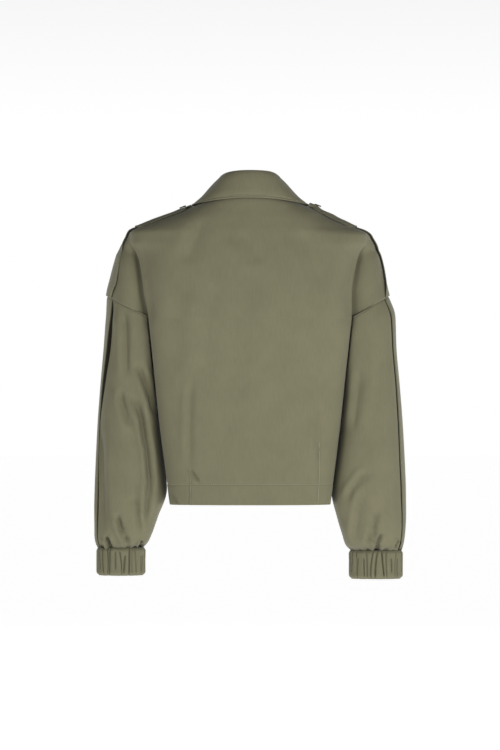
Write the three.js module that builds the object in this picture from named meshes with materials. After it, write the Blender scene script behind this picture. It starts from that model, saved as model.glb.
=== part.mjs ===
// A cropped cotton blazer, filled out as it is worn, with nobody in it.
// Millimetres, +Z up. The back faces -Y, the front +Y, and +X is the wearer's right.
// The origin is where the wearer's shoulders carry it: on the shoulder line, below the middle of the neck.
import * as THREE from "three";

// Driving sizes.
const CLOTH = 1.6; // one wall of cotton twill with its turnings
const SEAM = 0.3; // gap between neighbouring pieces
const LAYER = 0.5; // gap between a layer and the panel that it lies on
const HEM_EXTRA = 0.7; // how much thicker the turned-up hem is
const OVERLAP = 20; // how far each front passes the centre
const TUCK_UNDER = 3.2; // how far the lower front lies below the upper one at the centre
const BREAK_Z = -190; // where the upper lapel starts to roll
const LOWER_BREAK_Z = -146; // where the lower lapel goes under the upper front
const NECK_V = 72; // half width of the V at the neck seam
const NECK_CURVE = 0.95; // below 1 the V's sides bow outwards
const SEAM_PULL = 0.24; // each piece stops this far short of a seam
const LEAST_MITRE = 0.72;
const ARC_GAP = 0.6; // between a sleeve and the body under the arm
const BELOW_HEM = 12; // how far below the hem a sleeve still keeps clear of the body
const SEAM_TILT = 0.53; // how steeply the armhole seam rises outwards
const ARM_PIVOT = 187; // distance from the centre at which the armhole plane is level with its row

// How far the garment is shifted sideways at a height, because the wearer's left shoulder sits higher.
const LEAN_COLUMNS = { z: [40, -8, -28, -42, -62, -150, -205], shift: [0, 0, -9, -6, -4.5, -4.5, 0] };
const LEAN_FROM = 90; // the middle of the back and front keeps its place
const LEAN_TO = 150;

const TWILL = { color: 0x827f66, roughness: 0.86, metalness: 0 };
const BUTTON = { color: 0x4b4a3a, roughness: 0.45, metalness: 0 };

// A smooth function of the row number that goes through a column's values and doesn't overshoot them.
function through(values) {
  const last = values.length - 1;
  const steps = values.slice(1).map((value, i) => value - values[i]);
  const slopes = values.map((_, i) => {
    if (i === 0) return steps[0];
    if (i === last) return steps[last - 1];
    const [before, after] = [steps[i - 1], steps[i]];
    return before * after <= 0 ? 0 : (2 * before * after) / (before + after);
  });
  return (row) => {
    const at = Math.min(Math.max(row, 0), last);
    const i = Math.min(Math.floor(at), last - 1);
    const t = at - i;
    const rise = t * t * (3 - 2 * t);
    return (
      values[i] * (1 - rise) +
      values[i + 1] * rise +
      slopes[i] * t * (1 - t) * (1 - t) -
      slopes[i + 1] * t * t * (1 - t)
    );
  };
}

// A table with named columns becomes one smooth function of the row number for each column.
function table(names, rows) {
  const columns = names.split(" ").map((name, i) => [name, through(rows.map((row) => row[i]))]);
  return Object.fromEntries(columns);
}

const mix = (a, b, t) => a + (b - a) * t;
const clamp = (value, low, high) => Math.min(Math.max(value, low), high);
const smooth = (t) => clamp(t, 0, 1) ** 2 * (3 - 2 * clamp(t, 0, 1));
const power = (value, exponent) => Math.sign(value) * Math.abs(value) ** exponent;
const radians = THREE.MathUtils.degToRad;

// The body's level sections, from the neck seam down to the hem.
// centre and side: height at the centre back and at the side. half: half width of the torso.
// back and front: depth behind and before the shoulder line. widest: y of the torso's widest point.
// fold and frontFold: where the torso folds in at the arm, as 0 centre back, 1 widest point, 2 centre front.
// arm: 0 where the shoulder is one smooth curve, 1 where the upper arm stands out behind the fold.
const body = table("centre side half back front widest fold frontFold arm", [
  [24, 12, 80, 78, 42, -6, 0.62, 1.3, 0],
  [12, 4, 101, 83, 52, -5, 0.64, 1.3, 0],
  [-4, -7, 131, 87, 62, -4, 0.67, 1.3, 0],
  [-19, -20, 166, 91, 72, -4, 0.71, 1.3, 0],
  [-33, -33, 196, 94, 80, -5, 0.77, 1.3, 0.06],
  [-46, -46, 218, 97, 86, -9, 0.85, 1.28, 0.32],
  [-62, -62, 215, 100, 92, -20, 0.94, 1.26, 0.68],
  [-96, -96, 200, 106, 104, -42, 1.02, 1.3, 1],
  [-150, -150, 192, 112, 116, -56, 1.022, 1.345, 1],
  [-203, -203, 187, 115, 121, -54, 1.015, 1.366, 1],
  [-300, -300, 177, 112, 117, -48, 0.97, 1.38, 1],
  [-400, -400, 166.5, 108, 112, -45, 0.95, 1.38, 1],
  [-509, -509, 152.5, 105, 110, -43, 0.94, 1.38, 1],
  [-547, -547, 147.5, 104.5, 109.5, -42, 0.94, 1.38, 1],
]);
const ARMHOLE_ROW = 9;
const HEM_STITCH_ROW = 12;
const HEM_ROW = 13;
const BACK_POWER = 0.82;
const FRONT_POWER = 0.88;

// The upper arm's sections inside the yoke, on the same rows as the body's, down to the armhole seam.
// inner, outer, back and front bound an ellipse. tilt: how steeply the section rises outwards.
const yokeArm = table("inner outer back front tilt", [
  [150, 218, -30, 34, 0],
  [150, 218, -30, 34, 0],
  [150, 218, -30, 34, 0],
  [150, 218, -30, 34, 0],
  [150, 200, -30, 44, 0],
  [150, 219, -32, 56, 0.02],
  [150, 231, -39, 70, 0.06],
  [150, 242, -46, 81, 0.17],
  [150, 253.5, -49, 89, 0.34],
  [150, 261.5, -50, 92, SEAM_TILT],
]);

// The sleeves' sections from the armhole seam to the cuff, for the wearer's left and right.
// z: height at ARM_PIVOT. pleat: degrees behind the outermost line. gap and depth: of the pleat's mouth.
const SLEEVE_COLUMNS = "z tilt inner outer back front pleat gap depth";
const sleeves = {
  left: table(SLEEVE_COLUMNS, [
    [-203.3, SEAM_TILT, 150, 261.5, -50, 92, 36, 2, 6],
    [-235, 0.42, 156, 267, -51, 93, 35.5, 9, 24],
    [-280, 0.26, 163, 271, -52, 93, 33.5, 14, 24],
    [-335, 0.13, 167, 277, -53, 93, 28, 12, 24],
    [-400, 0.05, 165, 283, -54, 94, 24, 4, 22],
    [-460, 0, 159, 286, -54, 95, 25, 3, 19],
    [-520, 0, 154, 288, -50, 93, 27, 3, 17],
    [-570, 0, 170, 289, -41, 85, 28, 3, 14],
    [-603, 0, 181.5, 289, -31, 77, 28, 3, 10],
    [-620, 0, 189.5, 287, -20, 70, 28, 2.4, 7],
    [-629, 0, 197.5, 283.5, -6, 63, 28, 2, 4],
  ]),
  right: table(SLEEVE_COLUMNS, [
    [-203.3, SEAM_TILT, 150, 261.5, -50, 92, 33, 1.2, 6],
    [-235, 0.42, 156, 268, -51, 93, 31, 4, 24],
    [-280, 0.26, 163, 270, -52, 93, 30, 5, 24],
    [-335, 0.13, 167, 275.5, -53, 93, 30, 5.5, 24],
    [-400, 0.05, 165, 281.5, -54, 94, 31, 4.5, 22],
    [-460, 0, 158, 285, -54, 95, 31, 3.5, 20],
    [-520, 0, 150.5, 287, -50, 93, 29, 3.5, 18],
    [-570, 0, 160.5, 287, -41, 85, 28, 3.5, 14],
    [-604, 0, 170.5, 285.5, -31, 76, 28, 3, 10],
    [-624, 0, 177, 285, -20, 68, 28, 2.4, 7],
    [-634, 0, 186, 282, -1, 58, 28, 2, 4],
  ]),
};
const PLEAT_LIP = 3.2; // rounding of the pleat's two fold edges
const PLAIN_STEPS = 24; // columns round the sleeve without the pleat's own
const BOTTOM_SHARE = 0.9; // the pleat's bottom as a share of its mouth
const LIP_SHARE = 0.6; // how deep the lip's inner corner lies, as a share of the lip
const FIRST_PLACES = [0.3, 0.8]; // places of the pleat's own points, in degrees round the ring
const LAST_PLACES = [359.2, 359.7];
const FOLDS_FROM_ROW = 1.6; // the folds reach their full depth here
const ROW_MM = 52; // a sleeve row and a degree of turn, roughly, for the widths of the folds
const TURN_MM = 1.15;
const BODY_CLEARANCE = 2.6; // between a hanging sleeve and the body's side

// The largest folds of the sleeves, as troughs along a line from one end to the other.
// row: sleeve section. turn: degrees round the sleeve, 0 outermost, -90 at the back. spread: width in mm.
const FOLD_COLUMNS = ["side", "row", "turn", "rowEnd", "turnEnd", "depth", "spread"];
const sleeveFolds = [
  ["left", 0.6, -72, 3.1, -79, 5, 11],
  ["left", 3.2, -84, 5.6, -125, 7, 12],
  ["left", 2.3, -103, 3.6, -138, 5, 11],
  ["left", 4.6, -22, 7.6, -30, 5, 10],
  ["left", 6.4, -70, 8.6, -92, 4, 10],
  ["right", 5.2, -100, 6.6, -138, 5, 13],
  ["right", 5.4, -96, 7.4, -118, 4, 12],
  ["right", 7.2, -75, 8.8, -95, 4, 10],
  ["left", 3, 80, 4.2, 130, 6, 13],
  ["right", 3, 84, 4.4, 132, 6, 13],
].map((row) => Object.fromEntries(FOLD_COLUMNS.map((name, i) => [name, row[i]])));

const CUFF_RIBS = 26;
const CUFF_STEPS_PER_RIB = 4;
const RIB_DEPTH = 1.5;
const CUFF_SWELL = 1.2;
const CUFF_WALL = 3.2; // folded cloth with the elastic inside
const cuffs = {
  left: { top: -629.3, bottom: -681.5, inner: 197.5, outer: 281.5, y: 28, depth: 34 },
  right: { top: -634.3, bottom: -688, inner: 186, outer: 280, y: 28.5, depth: 29.5 },
};

// A point of the torso's section: row down the body, s 0 centre back, 1 widest point, 2 centre front.
function torsoPoint(row, s) {
  const half = body.half(row);
  const widest = body.widest(row);
  const behind = s <= 1;
  const angle = ((behind ? s : s - 1) * Math.PI) / 2;
  const exponent = behind ? BACK_POWER : FRONT_POWER;
  const along = power(behind ? Math.sin(angle) : Math.cos(angle), exponent);
  const across = power(behind ? Math.cos(angle) : Math.sin(angle), exponent);
  const depth = behind ? -(body.back(row) + widest) : body.front(row) - widest;
  const rise = behind ? along * along : 1;
  const height = mix(body.centre(row), body.side(row), rise);
  return new THREE.Vector3(half * along, widest + depth * across, height);
}

// The x of the torso's side at a depth y and a height z, for the sleeves to hang clear of.
function torsoSide(y, z) {
  let [low, high] = [0, HEM_ROW];
  for (let i = 0; i < 24; i += 1) {
    const middle = (low + high) / 2;
    if (body.side(middle) > z) low = middle;
    else high = middle;
  }
  const widest = body.widest(low);
  const behind = y < widest;
  const depth = behind ? body.back(low) + widest : body.front(low) - widest;
  const exponent = 1 / (behind ? BACK_POWER : FRONT_POWER);
  const share = clamp(Math.abs(y - widest) / depth, 0, 1) ** (2 * exponent);
  return body.half(low) * (1 - share) ** (0.5 / exponent);
}

// Where the front's free edge lies in a row: down the V of the neck, then past the centre.
function frontEdge(row) {
  const z = body.side(row);
  const share = clamp((z - BREAK_Z) / (body.side(0) - BREAK_Z), 0, 1);
  return mix(-OVERLAP, NECK_V, share ** NECK_CURVE);
}

function frontEdgeS(row) {
  const cosine = power(clamp(frontEdge(row) / body.half(row), -1, 1), 1 / FRONT_POWER);
  return 1 + Math.acos(cosine) / (Math.PI / 2);
}

// A point of one half of the body. q: 0 centre back, 1 fold behind the arm, 1.5 shoulder and outer arm
// or side seam, 2 fold before the arm, 3 the front's free edge. under: below the arm, in the armhole row too.
function bodyPoint(row, q, under = false) {
  const [fold, frontFold] = [body.fold(row), body.frontFold(row)];
  const start = torsoPoint(row, fold);
  const end = torsoPoint(row, frontFold);
  const tilt = row <= ARMHOLE_ROW ? yokeArm.tilt(row) : SEAM_TILT * clamp(ARMHOLE_ROW + 1 - row, 0, 1);
  if (q <= 1) return torsoPoint(row, fold * q);
  if (q >= 2) {
    const point = torsoPoint(row, mix(frontFold, frontEdgeS(row), q - 2));
    point.z += tilt * (end.x - start.x) * body.arm(row);
    return point;
  }
  const t = q - 1;
  const ridge = mix(fold, frontFold, t);
  const s = t < 0.5 ? mix(fold, Math.max(1, fold), 2 * t) : mix(Math.max(1, fold), frontFold, 2 * t - 1);
  const below = under || row > ARMHOLE_ROW;
  const onTorso = torsoPoint(row, below ? ridge : s);
  if (below) {
    onTorso.z += tilt * (onTorso.x - start.x);
    return onTorso;
  }
  const [middleX, radiusX] = [
    (yokeArm.inner(row) + yokeArm.outer(row)) / 2,
    (yokeArm.outer(row) - yokeArm.inner(row)) / 2,
  ];
  const [middleY, radiusY] = [
    (yokeArm.back(row) + yokeArm.front(row)) / 2,
    (yokeArm.front(row) - yokeArm.back(row)) / 2,
  ];
  const nearest = t < 0.5 ? start : end;
  const away = Math.abs(2 * t - 1);
  const turn = Math.atan2((nearest.y - middleY) / radiusY, (nearest.x - middleX) / radiusX);
  const onEllipse = (angle) =>
    new THREE.Vector3(middleX + radiusX * Math.cos(angle), middleY + radiusY * Math.sin(angle), start.z);
  const miss = nearest.clone().sub(onEllipse(turn)).setZ(0);
  const onArm = onEllipse(turn * away).addScaledVector(miss, away * away);
  const point = onTorso.lerp(onArm, body.arm(row));
  point.z += tilt * (point.x - start.x) * body.arm(row);
  return point;
}

// A surface is a list of points and faces whose corners run anticlockwise seen from outside.
class Surface {
  constructor() {
    this.points = [];
    this.faces = [];
    this.tags = [];
    this.frames = null;
  }

  add(point) {
    this.points.push(point);
    return this.points.length - 1;
  }

  face(tag, corners) {
    this.faces.push(corners);
    this.tags.push(tag);
  }

  // Joins two lines of points by their places along the line. tagAt names the piece at a place.
  zip(upper, lower, upperAt, lowerAt, tagAt = () => "") {
    let [i, j] = [0, 0];
    while (i + 1 < upper.length || j + 1 < lower.length) {
      const above = i + 1 < upper.length ? upperAt[i + 1] : Infinity;
      const below = j + 1 < lower.length ? lowerAt[j + 1] : Infinity;
      if (Math.abs(above - below) < 1e-6) {
        this.face(tagAt(above), [upper[i], lower[j], lower[j + 1], upper[i + 1]]);
        i += 1;
        j += 1;
      } else if (above < below) {
        this.face(tagAt(above), [upper[i], lower[j], upper[i + 1]]);
        i += 1;
      } else {
        this.face(tagAt(below), [upper[i], lower[j], lower[j + 1]]);
        j += 1;
      }
    }
  }

  // A copy with every point changed by a function.
  changed(change) {
    const copy = new Surface();
    copy.points = this.points.map(change);
    copy.faces = this.faces;
    copy.tags = this.tags;
    copy.frames = this.frames;
    return copy;
  }

  // The mirror image in the plane between left and right.
  mirrored() {
    const copy = this.changed((p) => new THREE.Vector3(-p.x, p.y, p.z));
    copy.faces = this.faces.map((face) => [...face].reverse());
    copy.frames = null;
    return copy;
  }

  // Unit normals, each face weighted by its angle at the point, with the stretch that a mitre needs.
  normals() {
    if (this.frames) return this.frames;
    const sums = this.points.map(() => new THREE.Vector3());
    const met = this.points.map(() => []);
    for (const face of this.faces) {
      face.forEach((index, i) => {
        const here = this.points[index];
        const next = this.points[face[(i + 1) % face.length]].clone().sub(here);
        const last = this.points[face[(i + face.length - 1) % face.length]].clone().sub(here);
        const normal = next.clone().cross(last).normalize();
        sums[index].addScaledVector(normal, next.angleTo(last));
        met[index].push(normal);
      });
    }
    return sums.map((sum, i) => {
      const normal = sum.normalize();
      const least = Math.min(...met[i].map((n) => n.dot(normal)));
      return { normal, mitre: 1 / Math.max(least, LEAST_MITRE) };
    });
  }

  // The surface moved out along its normals. The distance may be a function of the point.
  moved(distance) {
    const normals = this.normals();
    return this.changed((point, i) => {
      const away = typeof distance === "function" ? distance(point) : distance;
      return point.clone().addScaledVector(normals[i].normal, away * normals[i].mitre);
    });
  }

  // One piece of the surface, with the whole surface's normals, drawn back from its seams.
  piece(tag) {
    const frames = this.normals();
    const own = this.faces.filter((_, i) => this.tags[i] === tag);
    const shared = new Set(this.faces.filter((_, i) => this.tags[i] !== tag).flat());
    const used = [...new Set(own.flat())];
    const place = new Map(used.map((old, i) => [old, i]));
    const pull = new Map(used.map((old) => [old, new THREE.Vector3()]));
    const along = new Map(used.map((old) => [old, new THREE.Vector3()]));
    const edgesOf = (face) => face.map((a, i) => `${a},${face[(i + 1) % face.length]}`);
    const ownEdges = new Set(own.flatMap(edgesOf));
    for (const face of own) {
      face.forEach((index, i) => {
        for (const other of face) pull.get(index).add(this.points[other]).sub(this.points[index]);
        const next = face[(i + 1) % face.length];
        if (ownEdges.has(`${next},${index}`) || !shared.has(index) || !shared.has(next)) return;
        const edge = this.points[next].clone().sub(this.points[index]).normalize();
        along.get(index).add(edge);
        along.get(next).add(edge);
      });
    }
    const copy = new Surface();
    copy.points = used.map((old) => {
      const point = this.points[old].clone();
      if (!shared.has(old)) return point;
      const normal = frames[old].normal;
      const seam = along.get(old).normalize();
      const inwards = pull.get(old).addScaledVector(normal, -pull.get(old).dot(normal));
      inwards.addScaledVector(seam, -inwards.dot(seam));
      return point.addScaledVector(inwards.normalize(), SEAM_PULL);
    });
    copy.faces = own.map((face) => face.map((old) => place.get(old)));
    copy.tags = own.map(() => tag);
    copy.frames = used.map((old) => frames[old]);
    return copy;
  }
}

// Two surfaces as one, joined wherever their points are in the same place.
function joined(...surfaces) {
  const whole = new Surface();
  const found = new Map();
  for (const surface of surfaces) {
    const numbers = surface.points.map((p) => {
      const key = [p.x, p.y, p.z].map((value) => (Math.round(value * 1e4) / 1e4 + 0).toFixed(4)).join();
      if (!found.has(key)) found.set(key, whole.add(p));
      return found.get(key);
    });
    surface.faces.forEach((face, i) => whole.face(surface.tags[i], face.map((index) => numbers[index])));
  }
  return whole;
}

// A closed wall between an outer and an inner surface with the same faces.
function wallBetween(outer, inner) {
  const count = outer.points.length;
  const corners = [...outer.points, ...inner.points];
  const triangles = [];
  const edges = new Set();
  for (const face of outer.faces) {
    for (let i = 1; i + 1 < face.length; i += 1) {
      triangles.push([face[0], face[i], face[i + 1]]);
      triangles.push([face[i + 1] + count, face[i] + count, face[0] + count]);
    }
    face.forEach((a, i) => edges.add(`${a},${face[(i + 1) % face.length]}`));
  }
  for (const edge of edges) {
    const [a, b] = edge.split(",").map(Number);
    if (edges.has(`${b},${a}`)) continue;
    triangles.push([b, a, a + count], [b, a + count, b + count]);
  }
  const geometry = new THREE.BufferGeometry();
  const numbers = corners.flatMap((p) => [p.x, p.y, p.z]);
  geometry.setAttribute("position", new THREE.Float32BufferAttribute(numbers, 3));
  geometry.setIndex(triangles.flat());
  return geometry;
}

function wall(surface, thickness = CLOTH) {
  const inwards = typeof thickness === "function" ? (point) => -thickness(point) : -thickness;
  return wallBetween(surface, surface.moved(inwards));
}

// The wall of a sleeve. Its corners under the arm stand off like the rest of the underarm and are as thick as
// the sleeve's own faces ask, and its lower edge is level, for the cuff to follow on.
function sleeveWall(surface, side) {
  const corners = [bodyPoint(ARMHOLE_ROW, 1), bodyPoint(ARMHOLE_ROW, 2)];
  const away = side === "left" ? -1 : 1;
  const met = surface.points.map((point) => {
    const own = new THREE.Vector3(away * point.x, point.y, point.z);
    return corners.some((corner) => corner.distanceTo(own) < 1);
  });
  surface.points.forEach((point, i) => {
    if (met[i]) point.x += away * (ARC_GAP + SEAM);
  });
  const end = sleeves[side].z(SLEEVE_ROWS[SLEEVE_ROWS.length - 1]) + 0.01;
  const alone = surface.changed((point) => point.clone());
  alone.frames = null;
  const ownNormals = alone.normals();
  surface.frames = surface.frames.map((frame, i) => (met[i] ? ownNormals[i] : frame));
  const inner = surface.moved(-CLOTH);
  inner.points.forEach((point, i) => {
    if (surface.points[i].z < end) point.z = surface.points[i].z;
  });
  return wallBetween(surface, inner);
}

// Where the body is sampled: rows down it, columns round one half.
const YOKE_ROWS = [0, 1, 2, 3, 4, 4.6, 5.3, 6, 6.5, 7, 7.5, 8, 8.5, 9];
const LOWER_ROWS = [9, 9.35, 9.7, 10.2, 10.7, 11.2, 11.7, 12, 12.45, 13];
const BACK_COLUMNS = [0, 0.11, 0.22, 0.34, 0.46, 0.58, 0.7, 0.8, 0.88, 0.95, 1];
const ARM_COLUMNS = [1.1, 1.22, 1.34, 1.42, 1.5, 1.6, 1.72, 1.86];
const UNDERARM_COLUMNS = [1.25, 1.5, 1.75];
const FRONT_COLUMNS = [2, 2.1, 2.22, 2.36, 2.5, 2.64, 2.78, 2.9, 3];
const SIDE_SEAM = 1.5;
const RING_START = 1.34; // the armhole column at which the pleat of the sleeve starts
const SLEEVE_ROWS = [0.4, 1, 1.6, 2.3, 3, 3.7, 4.4, 5.1, 5.8, 6.5, 7.2, 8, 8.7, 9.35, 10];

// How full a sleeve is behind, on the side next to the body: 1 is a plain ellipse, less is fuller.
const REAR_FULLNESS = { power: 0.8, from: 8.4, rows: 1.6 };
function rearPower(row) {
  const share = smooth(row) * smooth((REAR_FULLNESS.from + REAR_FULLNESS.rows - row) / REAR_FULLNESS.rows);
  return mix(1, REAR_FULLNESS.power, share);
}

// The ellipse of a sleeve's section.
function sleeveEllipse(sleeve, row) {
  const [inner, outer] = [sleeve.inner(row), sleeve.outer(row)];
  const [rear, front] = [sleeve.back(row), sleeve.front(row)];
  return { x: (inner + outer) / 2, y: (rear + front) / 2, rx: (outer - inner) / 2, ry: (front - rear) / 2 };
}

// How deep the folds are at a place on a sleeve.
function foldDepth(side, row, turn) {
  let depth = 0;
  for (const fold of sleeveFolds.filter((candidate) => candidate.side === side)) {
    const along = [(fold.rowEnd - fold.row) * ROW_MM, (fold.turnEnd - fold.turn) * TURN_MM];
    const here = [(row - fold.row) * ROW_MM, (turn - fold.turn) * TURN_MM];
    const share = clamp((here[0] * along[0] + here[1] * along[1]) / (along[0] ** 2 + along[1] ** 2), 0, 1);
    const away = Math.hypot(here[0] - share * along[0], here[1] - share * along[1]);
    depth += fold.depth * Math.exp(-((away / fold.spread) ** 2));
  }
  return depth;
}

// A point of a sleeve. turn: degrees round it, 0 outermost, -90 at the back. tangent and depth: where a
// point of the pleat lies from there, along the section and into the sleeve.
function sleevePoint(side, row, turn, tangent = 0, inwards = 0) {
  const sleeve = sleeves[side];
  const { x, y, rx, ry } = sleeveEllipse(sleeve, row);
  const angle = radians(turn);
  const normal = new THREE.Vector3(Math.cos(angle) * ry, Math.sin(angle) * rx, 0).normalize();
  const wrapped = turn > 180 ? turn - 360 : turn;
  const depth = inwards + foldDepth(side, row, wrapped) * smooth(row / FOLDS_FROM_ROW);
  const [cosine, sine] = [Math.cos(angle), Math.sin(angle)];
  const exponent = cosine < 0 && sine < 0 ? rearPower(row) : 1;
  const point = new THREE.Vector3(x + rx * power(cosine, exponent), y + ry * power(sine, exponent), 0);
  point.addScaledVector(normal, -depth);
  point.x -= normal.y * tangent;
  point.y += normal.x * tangent;
  point.z = sleeve.z(row) + sleeve.tilt(row) * (point.x - ARM_PIVOT);
  if (point.z > body.side(HEM_ROW) - BELOW_HEM) {
    const clear = mix(ARC_GAP, BODY_CLEARANCE, smooth(row / SLEEVE_ROWS[0]));
    point.x = Math.max(point.x, torsoSide(point.y, Math.max(point.z, body.side(HEM_ROW))) + clear);
  }
  return point;
}

// A sleeve's section as points in order from the pleat's bottom round to it again, with their places.
function sleeveRing(side, row) {
  const sleeve = sleeves[side];
  const { rx, ry } = sleeveEllipse(sleeve, row);
  const centre = -sleeve.pleat(row);
  const [half, depth] = [sleeve.gap(row) / 2, sleeve.depth(row)];
  const reach = Math.hypot(rx * Math.sin(radians(centre)), ry * Math.cos(radians(centre)));
  const lip = THREE.MathUtils.radToDeg((half + PLEAT_LIP) / reach);
  const at = [...FIRST_PLACES];
  const points = [
    sleevePoint(side, row, centre, half * BOTTOM_SHARE, depth),
    sleevePoint(side, row, centre, half, PLEAT_LIP * LIP_SHARE),
  ];
  for (let i = 0; i <= PLAIN_STEPS; i += 1) {
    const offset = mix(lip, 360 - lip, i / PLAIN_STEPS);
    at.push(offset);
    points.push(sleevePoint(side, row, centre + offset));
  }
  points.push(sleevePoint(side, row, centre, -half, PLEAT_LIP * LIP_SHARE));
  points.push(sleevePoint(side, row, centre, -half * BOTTOM_SHARE, depth));
  at.push(...LAST_PLACES);
  return { points, at };
}

// One half of the body with its sleeve, where x is positive.
function halfSurface(side) {
  const surface = new Surface();
  const tagAt = (q) => (q <= SIDE_SEAM ? "back" : `front_${side}`);
  const line = (row, columns, under) => columns.map((q) => surface.add(bodyPoint(row, q, under)));
  const yokeAt = [...BACK_COLUMNS, ...ARM_COLUMNS, ...FRONT_COLUMNS];
  const lowerAt = [...BACK_COLUMNS, ...UNDERARM_COLUMNS, ...FRONT_COLUMNS];
  const yoke = YOKE_ROWS.map((row) => line(row, yokeAt, false));
  const armhole = yoke[yoke.length - 1];
  const lower = LOWER_ROWS.map((row) => line(row, lowerAt, true));
  lowerAt.forEach((q, i) => {
    const same = yokeAt.indexOf(q);
    if (same >= 0 && !ARM_COLUMNS.includes(q)) lower[0][i] = armhole[same];
  });
  for (let r = 0; r + 1 < yoke.length; r += 1) surface.zip(yoke[r], yoke[r + 1], yokeAt, yokeAt, tagAt);
  for (let r = 0; r + 1 < lower.length; r += 1) surface.zip(lower[r], lower[r + 1], lowerAt, lowerAt, tagAt);

  const arc = [...UNDERARM_COLUMNS].reverse().map((q) => {
    const point = bodyPoint(ARMHOLE_ROW, q, true);
    point.x += ARC_GAP;
    return surface.add(point);
  });
  const first = yokeAt.indexOf(RING_START);
  const ring = [
    ...armhole.slice(first, yokeAt.indexOf(2) + 1),
    ...arc,
    ...armhole.slice(yokeAt.indexOf(1), first + 1),
  ];
  const sleeve = sleeves[side];
  const { x, y, rx, ry } = sleeveEllipse(sleeve, 0);
  let before = 0;
  const ringAt = ring.map((index, i) => {
    if (i === 0) return 0;
    if (i === ring.length - 1) return 360;
    const point = surface.points[index];
    const turn = THREE.MathUtils.radToDeg(Math.atan2((point.y - y) / ry, (point.x - x) / rx));
    before = Math.max(before + 1, (turn + sleeve.pleat(0) + 720) % 360);
    return before;
  });
  let [upper, upperAt] = [ring, ringAt];
  for (const row of SLEEVE_ROWS) {
    const { points, at } = sleeveRing(side, row);
    const numbers = points.map((point) => surface.add(point));
    const closed = [...numbers, numbers[0]];
    const closedAt = [...at, 360 + at[0]];
    surface.zip(upper, closed, upperAt, closedAt, () => `sleeve_${side}`);
    [upper, upperAt] = [closed, closedAt];
  }
  return surface;
}

// The lower front lies deeper near the centre, where the upper one covers it.
const TUCK_EDGE = { from: 62, over: 34, drop: 40 };
function tuckedUnder(p) {
  const { from, over, drop } = TUCK_EDGE;
  const share = smooth((from - p.x) / over) * smooth((LOWER_BREAK_Z + drop - p.z) / drop);
  return new THREE.Vector3(p.x, p.y - TUCK_UNDER * share, p.z);
}

// A layer that lies on the body, made from the body's own points: from one column to another in each row.
function layerOn(rows, from, to) {
  const surface = new Surface();
  const columns = [...BACK_COLUMNS, ...ARM_COLUMNS, ...FRONT_COLUMNS];
  const lines = rows.map((row) => {
    const [start, end] = [from(row), to(row)];
    const at = [start, ...columns.filter((q) => q > start + 0.02 && q < end - 0.02), end];
    return { at, points: at.map((q) => surface.add(bodyPoint(row, q))) };
  });
  for (let i = 0; i + 1 < lines.length; i += 1) {
    surface.zip(lines[i].points, lines[i + 1].points, lines[i].at, lines[i + 1].at);
  }
  return surface;
}

const garment = new THREE.Group();

function addPiece(name, geometry, look = TWILL) {
  geometry.computeVertexNormals();
  const mesh = new THREE.Mesh(geometry, new THREE.MeshStandardMaterial(look));
  mesh.name = name;
  garment.add(mesh);
}

const hemWall = (point) => CLOTH + (point.z < body.side(HEM_STITCH_ROW) - 1 ? HEM_EXTRA : 0);
const garmentSurface = joined(halfSurface("right"), halfSurface("left").mirrored());

addPiece("back", wall(garmentSurface.piece("back"), hemWall));
addPiece("front_right", wall(garmentSurface.piece("front_right"), hemWall));
const lowerFront = garmentSurface.piece("front_left").changed((p) => {
  const tucked = tuckedUnder(new THREE.Vector3(-p.x, p.y, p.z));
  return new THREE.Vector3(-tucked.x, tucked.y, tucked.z);
});
addPiece("front_left", wall(lowerFront, hemWall));
addPiece("sleeve_right", sleeveWall(garmentSurface.piece("sleeve_right"), "right"));
addPiece("sleeve_left", sleeveWall(garmentSurface.piece("sleeve_left"), "left"));

// Storm flaps over the front shoulders and upper arms, caught in the armhole seams.
const flapRear = {
  left: through([1.4, 1.4, 1.4, 1.4, 1.36, 1.28, 1.25, 1.262, 1.275, 1.34]),
  right: through([1.45, 1.45, 1.45, 1.45, 1.43, 1.41, 1.43, 1.445, 1.41, 1.355]),
};
const FLAP_ROWS = [1.5, 2, 3, 4, 4.6, 5.3, 6, 6.5, 7, 7.5, 8, 8.5, 8.97];
const FLAP_FRONT = 2.3;
const flapSurface = (side) => layerOn(FLAP_ROWS, flapRear[side], () => FLAP_FRONT).moved(LAYER + CLOTH);
addPiece("flap_right", wall(flapSurface("right")));
addPiece("flap_left", wall(flapSurface("left").mirrored()));

// Lapels, turned back on the fronts from the neck to where the fronts close.
const LAPEL_ROWS = [1.4, 2, 3, 4, 4.6, 5.3, 6, 6.5, 7, 7.4];
const LAPEL_START = [2.44, 2.93]; // the column where it starts, at the neck and at its lower end
function lapelStart(row) {
  const [first, last] = [LAPEL_ROWS[0], LAPEL_ROWS[LAPEL_ROWS.length - 1]];
  return mix(...LAPEL_START, ((row - first) / (last - first)) ** 1.1);
}
const lapel = layerOn(LAPEL_ROWS, lapelStart, () => 3);
addPiece("lapel_right", wall(lapel.moved(LAYER + CLOTH)));
addPiece("lapel_left", wall(lapel.changed(tuckedUnder).moved(LAYER + CLOTH).mirrored()));

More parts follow.
